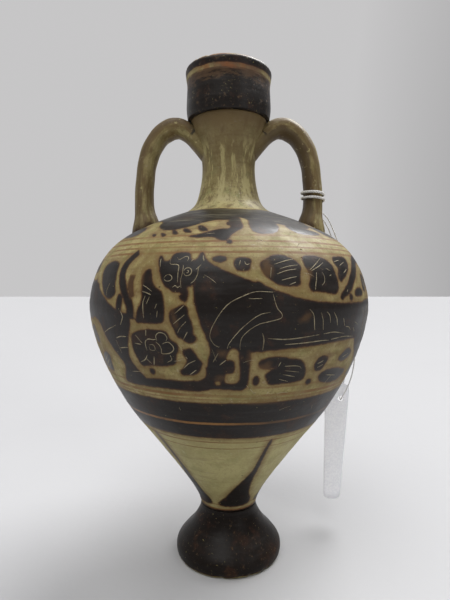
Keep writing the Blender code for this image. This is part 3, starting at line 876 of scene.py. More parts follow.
SHOULDER_EDGE = [(-60, 17.5), (-50, 17.5), (-44, 19.5), (-40, 24), (-36, 26.5), (-32, 28.2), (-26, 28.3),
                 (-21, 27), (-17, 25), (-13, 22.5), (-8, 20.6), (-2, 20.5), (2, 20), (6, 17.5), (9, 19),
                 (12, 22.5), (26, 23.2), (34, 25), (44, 26), (50, 23), (60, 17.5)]
SHOULDER_FILL = [
    [(-17, 32.6), (-13, 31.6), (-10, 30.6), (-7, 29.3), (-4, 28.4), (-0.5, 28.2), (0.4, 26.5), (-0.3, 20),
     (5.6, 18), (6.2, 22), (6.3, 27), (4.2, 29.2), (1.6, 31.2), (0.2, 33.2), (-1.2, 35.0), (-4, 35.0),
     (-6, 33.6), (-9, 33.2), (-13, 33.6)],
    [(10.5, 21), (13, 19.8), (20, 19.6), (25, 19.8), (25.2, 23), (23.5, 27), (20, 30.5), (14, 31.5),
     (10, 30), (9.5, 25)],
    [(29, 25), (32, 23.8), (38, 25), (44, 27.2), (48, 29.4), (41, 30.6), (34, 30.5), (30, 29)],
    [(50, 22), (56, 21.5), (66, 23), (72, 26.5), (70, 30.2), (60, 30.6), (52, 28.5)],
    [(-1.2, 35.0), (0.2, 34.5), (1.0, 35.6), (0.2, 36.6), (-1.0, 36.2)],
]
# Slanted petals under the wing, as (azimuth, distance down, half width, half height, lean).
PETALS = [(-35.2, 31.0, 0.95, 0.95, -35), (-29.8, 31.2, 1.0, 1.15, -35), (-24.6, 30.0, 1.1, 1.45, -35),
          (-19.2, 29.2, 1.25, 1.55, -35), (-12.3, 27.9, 1.45, 2.3, -30), (-0.4, 24.3, 0.75, 1.9, -8)]
REPEAT = 120
SHOULDER_TOP = 3.9

BAND = (91, 108)
BASE_BAND = 155
RAYS = 5
FIRST_RAY = 24
# One ray, measured from the azimuth of its tip.
RAY = [(-0.9, 111), (0.9, 111), (1.2, 120), (1.8, 130), (2.2, 138), (5.5, 145), (15, 152.5), (-41, 152.5),
       (-28, 147), (-14, 139.5), (-3.4, 131), (-1.5, 120)]

# Lines scored through the paint.
HEAD_LINES = [
    [(-21, 42.5), (-20.6, 44.2), (-17.6, 44.6), (-17.3, 47.5), (-17.1, 50.3)],
    [(-15.8, 44.6), (-15.7, 47), (-16.1, 49.5), (-15.7, 52)],
    [(-15.4, 46.6), (-14.6, 45.6), (-13.2, 45.7), (-12.6, 46.9), (-13.3, 48), (-14.7, 48.1), (-15.3, 47.2)],
    [(-14.3, 46.5), (-13.7, 46.5), (-13.7, 47.2), (-14.4, 47.2)],
    [(-22.2, 48.9), (-21.4, 47.9), (-20, 47.9), (-19.2, 48.9), (-19.9, 49.8), (-21.4, 49.8), (-22.1, 49.1)],
    [(-18.6, 41.8), (-17.7, 42.7), (-16.2, 41.9), (-15.2, 41.5), (-14.3, 42.1), (-14.6, 43.2)],
    [(-9.3, 40.9), (-9.1, 42.2), (-8.7, 43.4)], [(-24.9, 42.2), (-24.8, 43.6), (-24.4, 45.2)],
    [(-18.7, 51.9), (-17.7, 51.3), (-16.9, 52), (-16.1, 51.4)],
    [(-9.6, 44.4), (-10.4, 45.6), (-10.5, 47.6), (-11.4, 49.6), (-12.6, 50.6)],
    [(-12.6, 42.6), (-13.2, 43.4)], [(-10.2, 45), (-11.2, 46.2)],
]
FOREPART_LINES = [
    [(13.6, 53.3), (8, 53.2), (4, 54.5), (0, 56.5), (-2.5, 59), (-4.5, 62), (-6, 65), (-6.2, 67.3),
     (-5, 69.3), (-3.4, 70.2)],
    [(12.6, 59.4), (9, 60.2), (5, 63), (2, 66), (-0.3, 69), (-0.8, 70.6)],
    [(13.6, 54), (14.2, 56.5), (15, 58.5), (16.3, 60), (16, 61.3), (12.5, 62.2), (9, 63), (6, 64.8),
     (3.8, 67), (3.2, 69.5), (3.3, 71)],
    [(10.2, 65.8), (10.8, 68), (10.6, 71.3)], [(-3.8, 72.2), (-5.6, 75.2)], [(-1.2, 74.4), (-3.4, 76.2)],
]
BARREL_LINES = [
    [(26.3, 58.8), (27.8, 60.5), (28.3, 63), (28.8, 65.5)], [(31, 60), (31.9, 62.5), (32.5, 65.6)],
    [(33.5, 59.8), (34.8, 61), (35.5, 63.5)], [(36.8, 60), (38.3, 62), (39.3, 64.5)],
    [(42.2, 62.3), (43.6, 65)], [(44.4, 65.2), (46.5, 65.6), (48, 66.6)],
    [(12, 67.5), (18, 68), (24, 67.7), (31, 67.1)], [(33, 67), (38, 66.7), (44, 67.6)],
    [(18, 69.7), (26, 69.5), (32, 69.2), (36, 69.3)], [(37, 69.1), (44, 68.7), (51, 69.2)],
]
REAR_LINES = [
    [(66, 58.5), (62, 60.5), (60, 64), (60.8, 68), (64, 71)], [(70, 60), (66, 63), (65, 67), (67, 70)],
    [(79, 62), (76, 65), (75.5, 69)],
]
SECOND_REAR_LINES = [
    [(-39.6, 59.6), (-38.5, 61.4), (-38.9, 62.6), (-40.1, 64.4)],
    [(-52, 68.0), (-47.5, 66.2), (-45, 65.5), (-42.8, 64.6)], [(-43.8, 69.2), (-41, 68.4), (-38, 68.3)],
    [(-43, 72.7), (-40.4, 72.3), (-38.2, 72.1)], [(-39.8, 81.1), (-35.2, 80.6)],
    [(-47.8, 50.6), (-49, 53.2), (-48.4, 55)],
]
FRONT_FILL_LINES = [
    [(-28, 70.4), (-26.2, 70.2), (-25.8, 71.9), (-27.7, 72.1), (-28.1, 70.9)],
    [(-33.3, 67.3), (-30.8, 69.9)], [(-28.5, 65.4), (-28.7, 67.4)],
    [(-29.3, 72.4), (-29.4, 69.6), (-28, 68.4), (-26, 68.5), (-24.9, 68.3)],
    [(-24.6, 68.7), (-24.7, 67.1), (-23.5, 66.1), (-21.6, 66.3), (-20.6, 67.6), (-21.1, 68.6)],
    [(-25, 69.2), (-23.9, 70.1), (-23.3, 71.6), (-23.4, 73), (-20.6, 72.8), (-18.9, 71.7), (-18.8, 70.4),
     (-20.4, 69.0), (-22.6, 69.7)],
    [(-20.3, 73.4), (-19.9, 74.9), (-21.8, 76)], [(-26.7, 74.3), (-27.5, 77.4)],
    [(-29.5, 74), (-31, 75.7), (-33.3, 76.8)], [(-34.2, 70.2), (-31.4, 70.4)],
    [(-30, 51.2), (-28.4, 51.9), (-26, 53.2)], [(-30, 53.2), (-28.3, 53.6), (-26.2, 54.3)],
    [(-28.5, 54.6), (-29.2, 57), (-28.8, 61.6)], [(-26.8, 54.9), (-27.8, 57.2)],
    [(-23.8, 57), (-24.5, 58.6)], [(-23.5, 59.2), (-23.8, 61.2)], [(-14.4, 57.4), (-17.5, 60)],
    [(-14.2, 60.2), (-18, 63.1)], [(-13.8, 62.3), (-16, 64.5), (-16.8, 66)], [(-13.5, 65.5), (-15, 68)],
    [(-11.5, 74.8), (-14, 76), (-16, 77.8)], [(-11.5, 78.1), (-14, 80)], [(-14.8, 73.6), (-14.2, 74.4)],
]
BACK_FILL_LINES = [
    [(3.6, 43), (3.0, 44.8)], [(4.9, 43.4), (5.4, 44.5), (6.6, 44.2)],
    [(15, 44.4), (19, 43.2), (22.6, 42.4)], [(16.5, 46.0), (20, 45), (24, 44.5)],
    [(15.5, 47.6), (19, 46.5), (23, 45.9)], [(17, 49.6), (20, 48.9), (22.6, 48.4)],
    [(19.4, 51.1), (22, 50.2)], [(13.8, 45.4), (13.2, 48.8)], [(34.9, 41.9), (32, 43.9), (28.3, 46.2)],
    [(35.9, 43.4), (32.5, 45), (29, 46.4)], [(31, 47), (30.3, 49.5), (29.1, 52.7)],
    [(33.8, 47), (34.3, 48.6), (33.8, 50.2), (32.4, 51.3)], [(36.1, 45.4), (38, 46.4)],
    [(36.9, 48.1), (38.1, 47.7)], [(42.1, 43), (46, 42.2)], [(44.8, 44.4), (49.2, 42.9)],
    [(46, 47), (49, 45.6)],
]
BELLY_FILL_LINES = [
    [(19.3, 77.2), (23, 77.3), (25.4, 77.8), (26.1, 78.6)], [(19.6, 78.8), (25.6, 79.8)],
    [(19, 80.2), (24.1, 81.4)], [(17.9, 81.9), (21.6, 83)], [(17.5, 75.5), (16.8, 77.1)],
    [(33.2, 77.4), (35.8, 76.6)], [(33.6, 78.9), (36.2, 78.0)], [(40, 82.5), (47, 83.6)],
    [(47.5, 76.6), (51.5, 75.6)],
]
# Worn or thinly painted places, as (azimuth, distance down, half width, half height, lean).
THIN_PAINT = [(12.4, 45.6, 1.7, 3.0, 0), (-2.6, 72.3, 1.2, 1.0, 0), (6.4, 74.0, 0.5, 1.9, 0),
              (-3.4, 80.8, 1.3, 1.0, 20), (11.6, 77.2, 2.2, 1.7, 30), (-30.9, 50.5, 0.45, 4.6, 0),
              (30.5, 74.2, 1.8, 1.6, 40), (40, 74.6, 3.0, 1.2, 10), (-5.1, 24.4, 1.0, 4.2, 0),
              (-24, 81.3, 3.6, 0.6, 0), (-17.8, 60.8, 0.5, 3.4, -15), (28.2, 47.2, 0.9, 1.4, 0),
              (24.6, 61.5, 1.6, 1.4, 45), (13, 91.2, 5.0, 0.4, 0), (-36, 108, 6.0, 0.4, 0),
              (-60.5, 84, 3, 1, 0), (150, 75, 3, 2, 20)]

FACING_LEFT = -103
BARREL_FACING_LEFT = -127
MIRROR = 183
BLOT_CORNERS = 12
ROSETTE_PETALS = 8
# One petal's line from its foot to its tip and back, as (angle from its middle, share of the radius).
PETAL_LINE = ((-0.25, 0.44), (-0.16, 0.76), (0, 0.86), (0.16, 0.76), (0.25, 0.44))


def shifted(shape, by):
    return [(point[0] + by, *point[1:]) for point in shape]


def mirrored(shape):
    return [(MIRROR - point[0], *point[1:]) for point in shape]


BODY_LINE = smooth(BODY_OUTER, 24)
BODY_LENGTHS = arc_lengths(BODY_LINE)


def body_radius(down):
    return np.interp(down, BODY_LENGTHS, BODY_LINE[:, 0])


def degree_at(down):
    """The width of a degree of azimuth on the body, in millimetres, in the middle of these distances down."""
    return math.radians(1) * float(np.mean(body_radius(down)))


def thrown(points):
    """The small unevenness of a hand-thrown wall, all of it inwards."""
    points = np.array(points, float)
    turn = np.arctan2(points[..., 0], -points[..., 1])
    height = points[..., 2]
    oval = 0.0016 * (1 + np.sin(2 * turn + 0.9 + height * 0.012))
    ridges = 0.0006 * (1 + np.sin(height * 0.83 + turn)) + 0.0004 * (1 + np.sin(height * 1.9 - 2 * turn))
    points[..., :2] *= (1 - oval - ridges)[..., None]
    return points


def on_body(places):
    """Points of the body's surface at these places, with its outward normals."""
    turn, down = np.radians(places[:, 0]), places[:, 1]
    ahead = resampled(BODY_LINE, down + 0.5) - resampled(BODY_LINE, down - 0.5)
    ahead /= np.linalg.norm(ahead, axis=1)[:, None]
    outward = np.column_stack([-ahead[:, 1], ahead[:, 0]])
    points, normals = (np.column_stack([flat[:, 0] * np.sin(turn), -flat[:, 0] * np.cos(turn), flat[:, 1]])
                       for flat in (resampled(BODY_LINE, down), outward))
    return thrown(points), normals


def stroke(path):
    """The outline of a brush stroke along a path with half widths."""
    line = smooth(path, 4)
    scale = (degree_at(line[:, 1]), 1)
    flat = line[:, :2] * scale
    aside = aside_of(flat) * line[:, 2:]
    return np.concatenate([flat + aside, (flat - aside)[::-1]]) / scale


def blot(azimuth, down, half_width, half_height, lean):
    """A dab of the brush: an uneven rounded shape whose top leans to the right by that angle."""
    scale, slant = degree_at(down), math.tan(math.radians(lean))
    shape = []
    for turn in around(BLOT_CORNERS):
        uneven = 1 + 0.10 * math.sin(3 * turn + azimuth) + 0.05 * math.sin(5 * turn + down)
        x, y = (half * uneven * math.copysign(abs(part) ** 0.8, part)
                for half, part in ((half_width, math.cos(turn)), (half_height, math.sin(turn))))
        shape.append((azimuth + (x - slant * y) / scale, down + y))
    return shape


def blot_lines(azimuth, down, half_width, half_height):
    """Three slanting lines scored across a dab."""
    reach, rise = 0.55 * half_width / degree_at(down), 0.25 * half_height + 0.4
    middles = [down + level * half_height for level in (-0.4, 0.05, 0.5)]
    return [[(azimuth - reach, middle + rise), (azimuth, middle + 0.1), (azimuth + reach, middle - rise)]
            for middle in middles]


def rosette(azimuth, down, radius):
    """The outline of a rosette and the lines scored on it."""
    scale = degree_at(down)

    def at(turn, share):
        return (azimuth + radius * share * math.sin(turn) / scale, down - radius * share * math.cos(turn))

    outline = [at(turn, 1.0 if step % 2 else 0.9) for step, turn in enumerate(around(2 * ROSETTE_PETALS))]
    lines = [[at(turn, share) for turn in (*around(corners), FULL_TURN)]
             for corners, share in ((8, 0.2), (12, 0.36))]
    for turn in around(ROSETTE_PETALS) + math.pi / ROSETTE_PETALS:
        lines.append([at(turn + side, share) for side, share in PETAL_LINE])
    return outline, lines


def signed_distance(x, y, loop):
    """How far each place is outside a closed loop of points; less than 0 inside."""
    nearest = np.full(x.shape, np.inf)
    inside = np.zeros(x.shape, bool)
    for (ax, ay), (bx, by) in zip(loop, np.roll(loop, -1, axis=0)):
        dx, dy = bx - ax, by - ay
        along = np.clip(((x - ax) * dx + (y - ay) * dy) / (dx * dx + dy * dy + 1e-9), 0, 1)
        nearest = np.minimum(nearest, np.hypot(x - ax - along * dx, y - ay - along * dy))
        crossed = (ay > y) != (by > y)
        inside ^= crossed & (x < ax + (y - ay) * dx / (dy if dy else 1e-9))
    return np.where(inside, -nearest, nearest)


class Painting:
    """How far each place of a grid on the body is from the edge of the paint, in millimetres; less than 0
    in it."""

    FAR = 4.0

    def __init__(self, downs, segments):
        self.downs = downs
        self.azimuths = np.arange(segments) * 360 / segments
        self.values = np.full((len(downs), segments), self.FAR)

    def distance(self, shape):
        """Rows, columns and distances for the part of the grid near an outline."""
        outline = smooth(shape, 4, closed=True)
        middle = (outline.min(axis=0) + outline.max(axis=0)) / 2
        reach = np.ptp(outline, axis=0) / 2
        radii = body_radius(self.downs)
        rows = np.flatnonzero(np.abs(self.downs - middle[1]) < reach[1] + self.FAR)
        away = (self.azimuths - middle[0] + 180) % 360 - 180
        columns = np.flatnonzero(np.abs(away) < reach[0] + math.degrees(self.FAR / radii[rows].min()))
        across = body_radius(outline[:, 1]) * np.radians(outline[:, 0] - middle[0])
        loop = np.column_stack([across, outline[:, 1]])
        x = radii[rows][:, None] * np.radians(away[columns])[None, :]
        y = np.broadcast_to(self.downs[rows][:, None], x.shape)
        return np.ix_(rows, columns), signed_distance(x, y, loop)

    def add(self, *shapes):
        for shape in shapes:
            where, distance = self.distance(shape)
            self.values[where] = np.minimum(self.values[where], distance)

    def cut(self, *shapes):
        for shape in shapes:
            where, distance = self.distance(shape)
            self.values[where] = np.maximum(self.values[where], -distance)

    def add_bands(self, *distances):
        """Adds what goes right round, given as distances for each row or each place."""
        for distance in distances:
            self.values = np.minimum(self.values, distance)


def shoulder_edge(azimuth):
    """How far down the black of the shoulder comes."""
    turn = (azimuth + REPEAT / 2) % REPEAT - REPEAT / 2
    return np.interp(turn, *zip(*SHOULDER_EDGE))


def shoulder_start(azimuth):
    """How far down the black of the shoulder begins, unevenly."""
    turn = np.radians(azimuth)
    waves = 0.5 * np.sin(3 * turn + 0.6) + 0.35 * np.sin(7 * turn) + 0.25 * np.sin(17 * turn + 1)
    return SHOULDER_TOP + waves


def paint_slip(painting):
    azimuth, down = painting.azimuths[None, :], painting.downs[:, None]
    painting.add_bands(np.maximum(down - shoulder_edge(azimuth), shoulder_start(azimuth) - down))
    for step in range(360 // REPEAT):
        for shape in (*SHOULDER_FILL, *(blot(*petal) for petal in PETALS)):
            painting.add(shifted(shape, step * REPEAT))
    front = [HEAD, FOREPART, BARREL, REAR, stroke(TAIL), *BACK_FILL, *BELLY_FILL, *FRONT_FILL]
    painting.add(*front, *map(mirrored, front))
    painting.add(*(shifted(shape, FACING_LEFT) for shape in (HEAD, FOREPART)))
    painting.add(SECOND_REAR, SECOND_BARREL, stroke(SECOND_TAIL), stroke(TAIL_SHADOW[3:]), HAUNCH_SPOT,
                 GROUND_STRIP, LEFT_OVAL, blot(*CHIN_SPOT))
    painting.add(*(blot(*place) for place in FAR_FILL), *(rosette(*place)[0] for place in FAR_ROSETTES))
    for gap in (LEG_GAP, PAW_CHIP):
        painting.cut(gap, mirrored(gap), shifted(gap, FACING_LEFT))
    painting.add_bands(abs(down - sum(BAND) / 2) - (BAND[1] - BAND[0]) / 2, BASE_BAND - down)
    painting.add(*(shifted(RAY, FIRST_RAY + step * 360 / RAYS) for step in range(RAYS)))


def paint_wash(painting):
    painting.add(*(blot(*place) for place in THIN_PAINT), stroke(TAIL_SHADOW))


def scored_lines():
    """Every line scored through the paint."""
    lines = [*HEAD_LINES, *FOREPART_LINES, *BARREL_LINES, *REAR_LINES, *FRONT_FILL_LINES, *BACK_FILL_LINES,
             *BELLY_FILL_LINES]
    lines += [mirrored(line) for line in lines]
    lines += [shifted(line, FACING_LEFT) for line in [*HEAD_LINES, *FOREPART_LINES]]
    lines += [shifted(line, BARREL_FACING_LEFT) for line in BARREL_LINES]
    lines += SECOND_REAR_LINES
    for place in FAR_FILL:
        lines += blot_lines(*place[:4])
    for place in FAR_ROSETTES:
        lines += rosette(*place)[1]
    return lines


# ------------------------------
# Pieces
# ------------------------------

BODY_SEGMENTS = 448
FRIEZE = (15, 91)
FRIEZE_STEP = 0.66
PLAIN_STEP = 1.08
NECK_SEGMENTS = 288
FOOT_SEGMENTS = 320
SCORE_WIDTH = 0.30
SCRATCHES = 70
SCRATCH_WIDTH = 0.16
SLIVER_STEP = 0.5
SLIVER_PROUD = 0.02
SLIVER_SUNK = 0.12


def finished(obj, body, slot, material, *nodes):
    """Gives a piece its finish, the body it moves with and the CAD nodes it stands for."""
    obj.data.materials.append(material)
    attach(obj, body)
    if nodes:
        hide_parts(*nodes)


def make_body():
    total = BODY_LENGTHS[-1]
    low, high = FRIEZE
    downs = np.concatenate([np.linspace(0, low, round(low / PLAIN_STEP), endpoint=False),
                            np.linspace(low, high, round((high - low) / FRIEZE_STEP), endpoint=False),
                            np.linspace(high, total, round((total - high) / PLAIN_STEP))])
    outer = resampled(BODY_LINE, downs)
    inner = smooth(BODY_INNER, 2)
    rings = np.concatenate([[(0, BODY_FLOOR)], inner, outer, [(0, outer[-1][1])]])
    outside = np.array([False] * (len(inner) + 1) + [True] * len(outer) + [False])
    body = turned("pot_body", rings, outside, BODY_SEGMENTS, thrown)

    def outside_attribute(name, values, elsewhere):
        """An attribute with these values on the outer wall."""
        every = np.full(len(body.data.vertices), elsewhere)
        first = len(inner) * BODY_SEGMENTS
        every[first:first + values.size] = values.reshape(-1)
        float_attribute(body, name, every)

    for name, paint in (("slip", paint_slip), ("wash", paint_wash)):
        painting = Painting(downs, BODY_SEGMENTS)
        paint(painting)
        outside_attribute(name, painting.values, Painting.FAR)
    outside_attribute("arc", np.repeat(downs, BODY_SEGMENTS), 0.0)
    finished(body, "jar", "painted_body", body_finish(), "body")


def sliver(line, width, spans):
    """Rings of a fine three-cornered sliver let into the body along a line, its flat side out."""
    places = smooth(line, spans)
    scale = (degree_at(places[:, 1]), 1)
    points, normals = on_body(evenly(places * scale, SLIVER_STEP) / scale)
    taper = np.sin(np.linspace(0.12, math.pi - 0.12, len(points))) ** 0.45
    aside = (width / 2 * taper)[:, None] * np.cross(normals, directions(points))
    face = points + SLIVER_PROUD * normals
    return np.stack([face + aside, face - aside, points - SLIVER_SUNK * normals], axis=1)


def make_scored_lines():
    random.seed(4)
    solids = [sliver(line, SCORE_WIDTH * random.uniform(0.75, 1.15), 6) for line in scored_lines()]
    finished(joined("scored_lines", solids), "jar", "bare_clay", scored_finish())


def make_wear():
    """Fine scratches from handling, at random places on the body."""
    random.seed(11)
    solids = []
    for _ in range(SCRATCHES):
        azimuth, down = random.uniform(-180, 180), random.uniform(20, 108)
        turn, length = random.gauss(0.2, 0.8), random.uniform(1.0, 5.0)
        across, along = length * math.cos(turn) / degree_at(down), length * math.sin(turn)
        bow = random.uniform(-0.4, 0.4)
        line = [(azimuth, down), (azimuth + across / 2, down + along / 2 + bow),
                (azimuth + across, down + along)]
        solids.append(sliver(line, SCRATCH_WIDTH * random.uniform(0.6, 1.2), 4))
    finished(joined("wear_scratches", solids), "jar", "bare_clay", scored_finish())


def chipped(points, level, depth, reach, seed):
    """Wears an edge at that height back unevenly, inwards."""
    turn = np.arctan2(points[..., 0], -points[..., 1])
    near = np.exp(-((points[..., 2] - level) / reach) ** 2)
    rough = sum(np.sin(turn * order + seed * order * 1.7) / (1 + index * 0.4)
                for index, order in enumerate((3, 7, 13, 22, 37, 61)))
    bite = np.clip(rough - 0.4, 0, None) * depth / 2
    points[..., :2] *= (1 - near * bite / 17)[..., None]
    return points


LIP_SLOPE = 0.030
LIP_RISE = 0.9


def mouth_shape(points):
    """The mouth leans a little, lower to the right, and its lip is worn."""
    height = points[..., 2]
    share = np.clip((height - MOUTH_BASE) / (HEIGHT - MOUTH_BASE), 0, 1)
    points = chipped(points, HEIGHT, 0.5, 0.7, 2.0)
    points[..., 2] = height + share ** 1.5 * (LIP_RISE - LIP_SLOPE * (points[..., 0] + MOUTH_OUTER[1][0]))
    return points


def open_ring(name, outer, inner, step, segments, shape):
    """A turned piece with a hole right through it."""
    outside = evenly(smooth(outer, 16), step)
    inside = evenly(smooth(inner, 16), step * 2)
    marks = np.array([True] * len(outside) + [False] * len(inside))
    return turned(name, np.concatenate([outside, inside]), marks, segments, shape)


def make_mouth():
    mouth = open_ring("pot_mouth", MOUTH_OUTER, MOUTH_INNER, 0.4, NECK_SEGMENTS, mouth_shape)
    bands = [(OFF_PIECE, BARE_BAND[0]), (BARE_BAND[1], 199.9)]
    finish = height_finish("mouth_slip", bands, 0.6, mouth_tint, 0.25, LIP_SLOPE, 1.0, (190.5, 193.6))
    finished(mouth, "jar", "black_slip_mouth", finish, "mouth")


def make_neck():
    neck = open_ring("pot_neck", NECK_OUTER, NECK_INNER, 0.6, NECK_SEGMENTS, None)
    finish = height_finish("neck_clay", [(OFF_PIECE, 141.2)], 1.6, neck_tint)
    finished(neck, "jar", "bare_clay", finish, "neck")


def make_foot():
    outer = evenly(smooth(FOOT_OUTER, 16), 0.35)
    inner = evenly(smooth(FOOT_INNER, 16), 0.8)
    rings = np.concatenate([[(0, FOOT_TOP)], outer, inner, [(0, FOOT_HOLLOW_TOP)]])
    marks = np.array([False] + [True] * len(outer) + [False] * (len(inner) + 1))
    foot = turned("pot_foot", rings, marks, FOOT_SEGMENTS, lambda points: chipped(points, 0.6, 0.5, 1.1, 5.0))
    finish = height_finish("foot_slip", [(1.1, OFF_PIECE)], 0.8, foot_tint, 0.11, worn=0.6)
    finished(foot, "jar", "black_slip", finish, "foot")


HANDLE_SIDES = 60
HANDLE_NOTCH = 0.035
HANDLE_SUNK = 1.4
# Keeps the handle's unevenness inside its CAD section.
HANDLE_SLIM = 0.99
# How much the handle widens at its lower and upper end, over what share of its length, and how suddenly.
FOOT_FLARE = (0.30, 0.14, 1.5)
HEAD_FLARE = (0.45, 0.16, 1.3)


def held_in_wall(points):
    """Keeps the upper end of a handle inside the neck's wall, clear of its bore."""
    radius = np.hypot(points[..., 0], points[..., 1])
    line = smooth(NECK_OUTER, 8)[::-1]
    least = np.interp(points[..., 2], line[:, 1], line[:, 0]) - HANDLE_SUNK
    points[..., :2] *= np.where(radius < least, least / np.maximum(radius, 0.1), 1)[..., None]
    return points


def flare(from_end, amount, reach, power):
    return amount * np.clip((reach - from_end) / reach, 0, 1) ** power


def make_handle(node, side, painted_shade_share):
    """side is 1 for the right handle, which has painted shade on its inner side, and -1 for the left, which
    has it on its outer side.
    """
    name = f"{node}_clay"
    path = smooth(HANDLE_PATH, 10)
    share = np.linspace(0, 1, len(path))
    widened = 1 + flare(1 - share, *HEAD_FLARE) + flare(share, *FOOT_FLARE)
    turn = around(HANDLE_SIDES)
    lean, across = np.cos(turn), np.sin(turn)
    groove = 1 - HANDLE_NOTCH * np.exp(-((np.abs(across) - 0.97) / 0.05) ** 2 - (lean / 0.3) ** 2)
    rings = []
    for (x, z, half), along, normal, wide in zip(path, share, aside_of(path[:, :2]), widened):
        uneven = (1 + 0.010 * np.sin(along * 31 + 2 * turn) + 0.008 * np.sin(along * 67 - turn)) * HANDLE_SLIM
        thick = half * wide * np.sign(lean) * np.abs(lean) ** 0.9 * uneven
        breadth = half * HANDLE_WIDTH_RATIO * (1 + 0.5 * (wide - 1)) * across * groove * uneven
        rings.append(np.column_stack([side * (x + normal[0] * thick), breadth, z + normal[1] * thick]))
    rings = held_in_wall(np.array(rings))
    if side > 0:
        rings, turn = rings[:, ::-1], turn[::-1]
    handle = mesh_object(name, *lofted(rings))
    float_attribute(handle, "along", np.repeat(share, HANDLE_SIDES))
    float_attribute(handle, "across", np.tile(np.sin(turn), len(path)))
    float_attribute(handle, "inner", np.tile(np.cos(turn), len(path)))
    finished(handle, "jar", "bare_clay", handle_finish(name, side, painted_shade_share), node)


def twisted(line, strand, offset, pitch, strands=3, sides=8):
    """Rings for each strand of a cord twisted round a line."""
    frames = frames_along(line, (0.2, 0.3, 1))
    solids = []
    for lead in around(strands):
        turn = arc_lengths(line) * FULL_TURN / pitch + lead
        middle = np.array([point + offset * (math.cos(angle) * one + math.sin(angle) * two)
                           for point, angle, (one, two) in zip(line, turn, frames)])
        solids.append(tube(middle, strand, sides))
    return solids


def handle_middle(height):
    """The middle line's distance from the axis and the half thickness at a height on the upright part."""
    upright = np.array([point for point in HANDLE_PATH if point[1] < HANDLE_UPRIGHT_TOP])
    return (np.interp(height, upright[:, 1], upright[:, column]) for column in (0, 2))


def make_tie_string(cotton):
    """The string's turns round the right handle."""
    rise = STRING_PITCH * STRING_TURNS / 2
    turn = np.linspace(0, STRING_TURNS * FULL_TURN, 220)
    line = []
    for angle, level in zip(turn, TIE_HEIGHT + rise - STRING_PITCH * turn / FULL_TURN):
        x, half = handle_middle(level)
        line.append((x - (half + STRING / 2) * math.sin(angle),
                     (half * HANDLE_WIDTH_RATIO + STRING / 2) * math.cos(angle), level))
    solids = twisted(evenly(np.array(line), 0.3), 0.30, 0.26, 3.4)
    finished(joined("tie_string", solids), "jar", "cotton_string", cotton, "string_wrap")


def make_tie_knot(cotton):
    """The string's knot and its two cut ends."""
    low, high = (Vector(corner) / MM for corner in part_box("string_knot"))
    middle, reach = (low + high) / 2, (high - low) / 2
    turn = np.linspace(0, FULL_TURN, 90)
    lump = np.column_stack([middle.x + (reach.x - 0.4) / 3 * (np.sin(turn) + 2 * np.sin(2 * turn)),
                            middle.y - (reach.y - 0.5) * np.sin(3 * turn),
                            middle.z + (reach.z - 0.4) / 3 * (np.cos(turn) - 2 * np.cos(2 * turn))])
    solids = twisted(lump, 0.32, 0.24, 2.6)
    for lean, length in ((0.55, 5.5), (-0.35, 4.2)):
        steps = ((0, 0, -0.8), (lean, 0.6, -2.2), (2 * lean, 0.5, -length))
        tail = smooth([middle + Vector(step) for step in steps], 8)
        solids += twisted(tail, 0.22, 0.2, 2.8)
    finished(joined("tie_knot", solids), "jar", "cotton_string", cotton, "string_knot")


def tag_outline(corners_of_arc=9):
    """The tag's outline from its hole, as (across, up), with its corners rounded."""
    found = []
    corners = [np.array(corner) for corner, _ in TAG_CORNERS]
    for before, corner, after, (_, rounding) in zip(np.roll(corners, 1, axis=0), corners,
                                                    np.roll(corners, -1, axis=0), TAG_CORNERS):
        start, end = (corner + (other - corner) / np.linalg.norm(other - corner) * rounding
                      for other in (before, after))
        for t in np.linspace(0, 1, corners_of_arc + 1):
            found.append((1 - t) ** 2 * start + 2 * t * (1 - t) * corner + t * t * end)
    return evenly(np.array(found + [found[0]]), 1.0)[:-1]


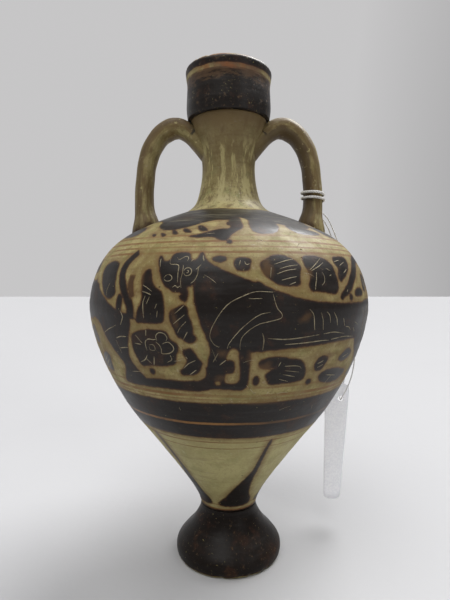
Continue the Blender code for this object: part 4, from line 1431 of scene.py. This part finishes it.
def make_tag():
    outline = tag_outline()
    turn = np.arctan2(outline[:, 1], outline[:, 0])
    hole = TAG_HOLE_RADIUS * np.column_stack([np.cos(turn), np.sin(turn)])
    shares = np.linspace(0, 1, 26) ** 0.8
    front, back = [], []
    for share in shares:
        flat = hole + (outline - hole) * share
        bent = np.clip(-flat[:, 1] / TAG_DROP, 0, 1)
        curl = bent * (TAG_CURL * bent + TAG_BOW * flat[:, 0] ** 2 + TAG_RIPPLE * np.sin(flat[:, 1] * 0.21))
        middle = np.column_stack([flat[:, 0], curl, flat[:, 1]]) + TAG_HOLE
        front.append(middle - (0, TAG_THICKNESS / 2, 0))
        back.append(middle + (0, TAG_THICKNESS / 2, 0))
    rings = np.array(front + back[::-1])
    faces = ring_faces(*rings.shape[:2], closed=True)
    tag = mesh_object("paper_tag", rings.reshape(-1, 3), faces, smooth_shading=False)
    float_attribute(tag, "rim", np.repeat(np.concatenate([shares, shares[::-1]]), len(outline)))
    finished(tag, "tag", "tag_paper", paper_finish(), "tag")
    return tag


def make_thread(tag):
    """The thread that the tag hangs on: a loop from the tie, through the tag's hole and back."""
    route = smooth(THREAD_ROUTE, 3) * MM
    curve = bpy.data.curves.new("thread_loop", "CURVE")
    curve.dimensions = "3D"
    curve.bevel_depth = THREAD / 2 * MM
    curve.bevel_resolution = 3
    curve.use_fill_caps = True
    spline = curve.splines.new("POLY")
    spline.points.add(len(route) - 1)
    for point, place in zip(spline.points, route):
        point.co = (*place, 1)
    thread = linked("thread_loop", curve)
    cotton = cotton_finish("thread_cotton", THREAD_PALE, THREAD_SHADE, 0.0003)
    finished(thread, "jar", "fine_thread", cotton, "tag_thread")


def make_stage():
    bpy.ops.mesh.primitive_plane_add(size=6)
    floor = bpy.context.object
    floor.name = "floor"
    floor.data.materials.append(floor_finish())


make_light()
make_stage()
make_thread(make_tag())
tie_cotton = cotton_finish("tie_cotton", TIE_PALE, TIE_SHADE, 0.00035)
make_tie_string(tie_cotton)
make_tie_knot(tie_cotton)
make_body()
make_scored_lines()
make_wear()
make_neck()
make_mouth()
make_foot()
make_handle("handle_left", -1, 0.55)
make_handle("handle_right", 1, 0.85)
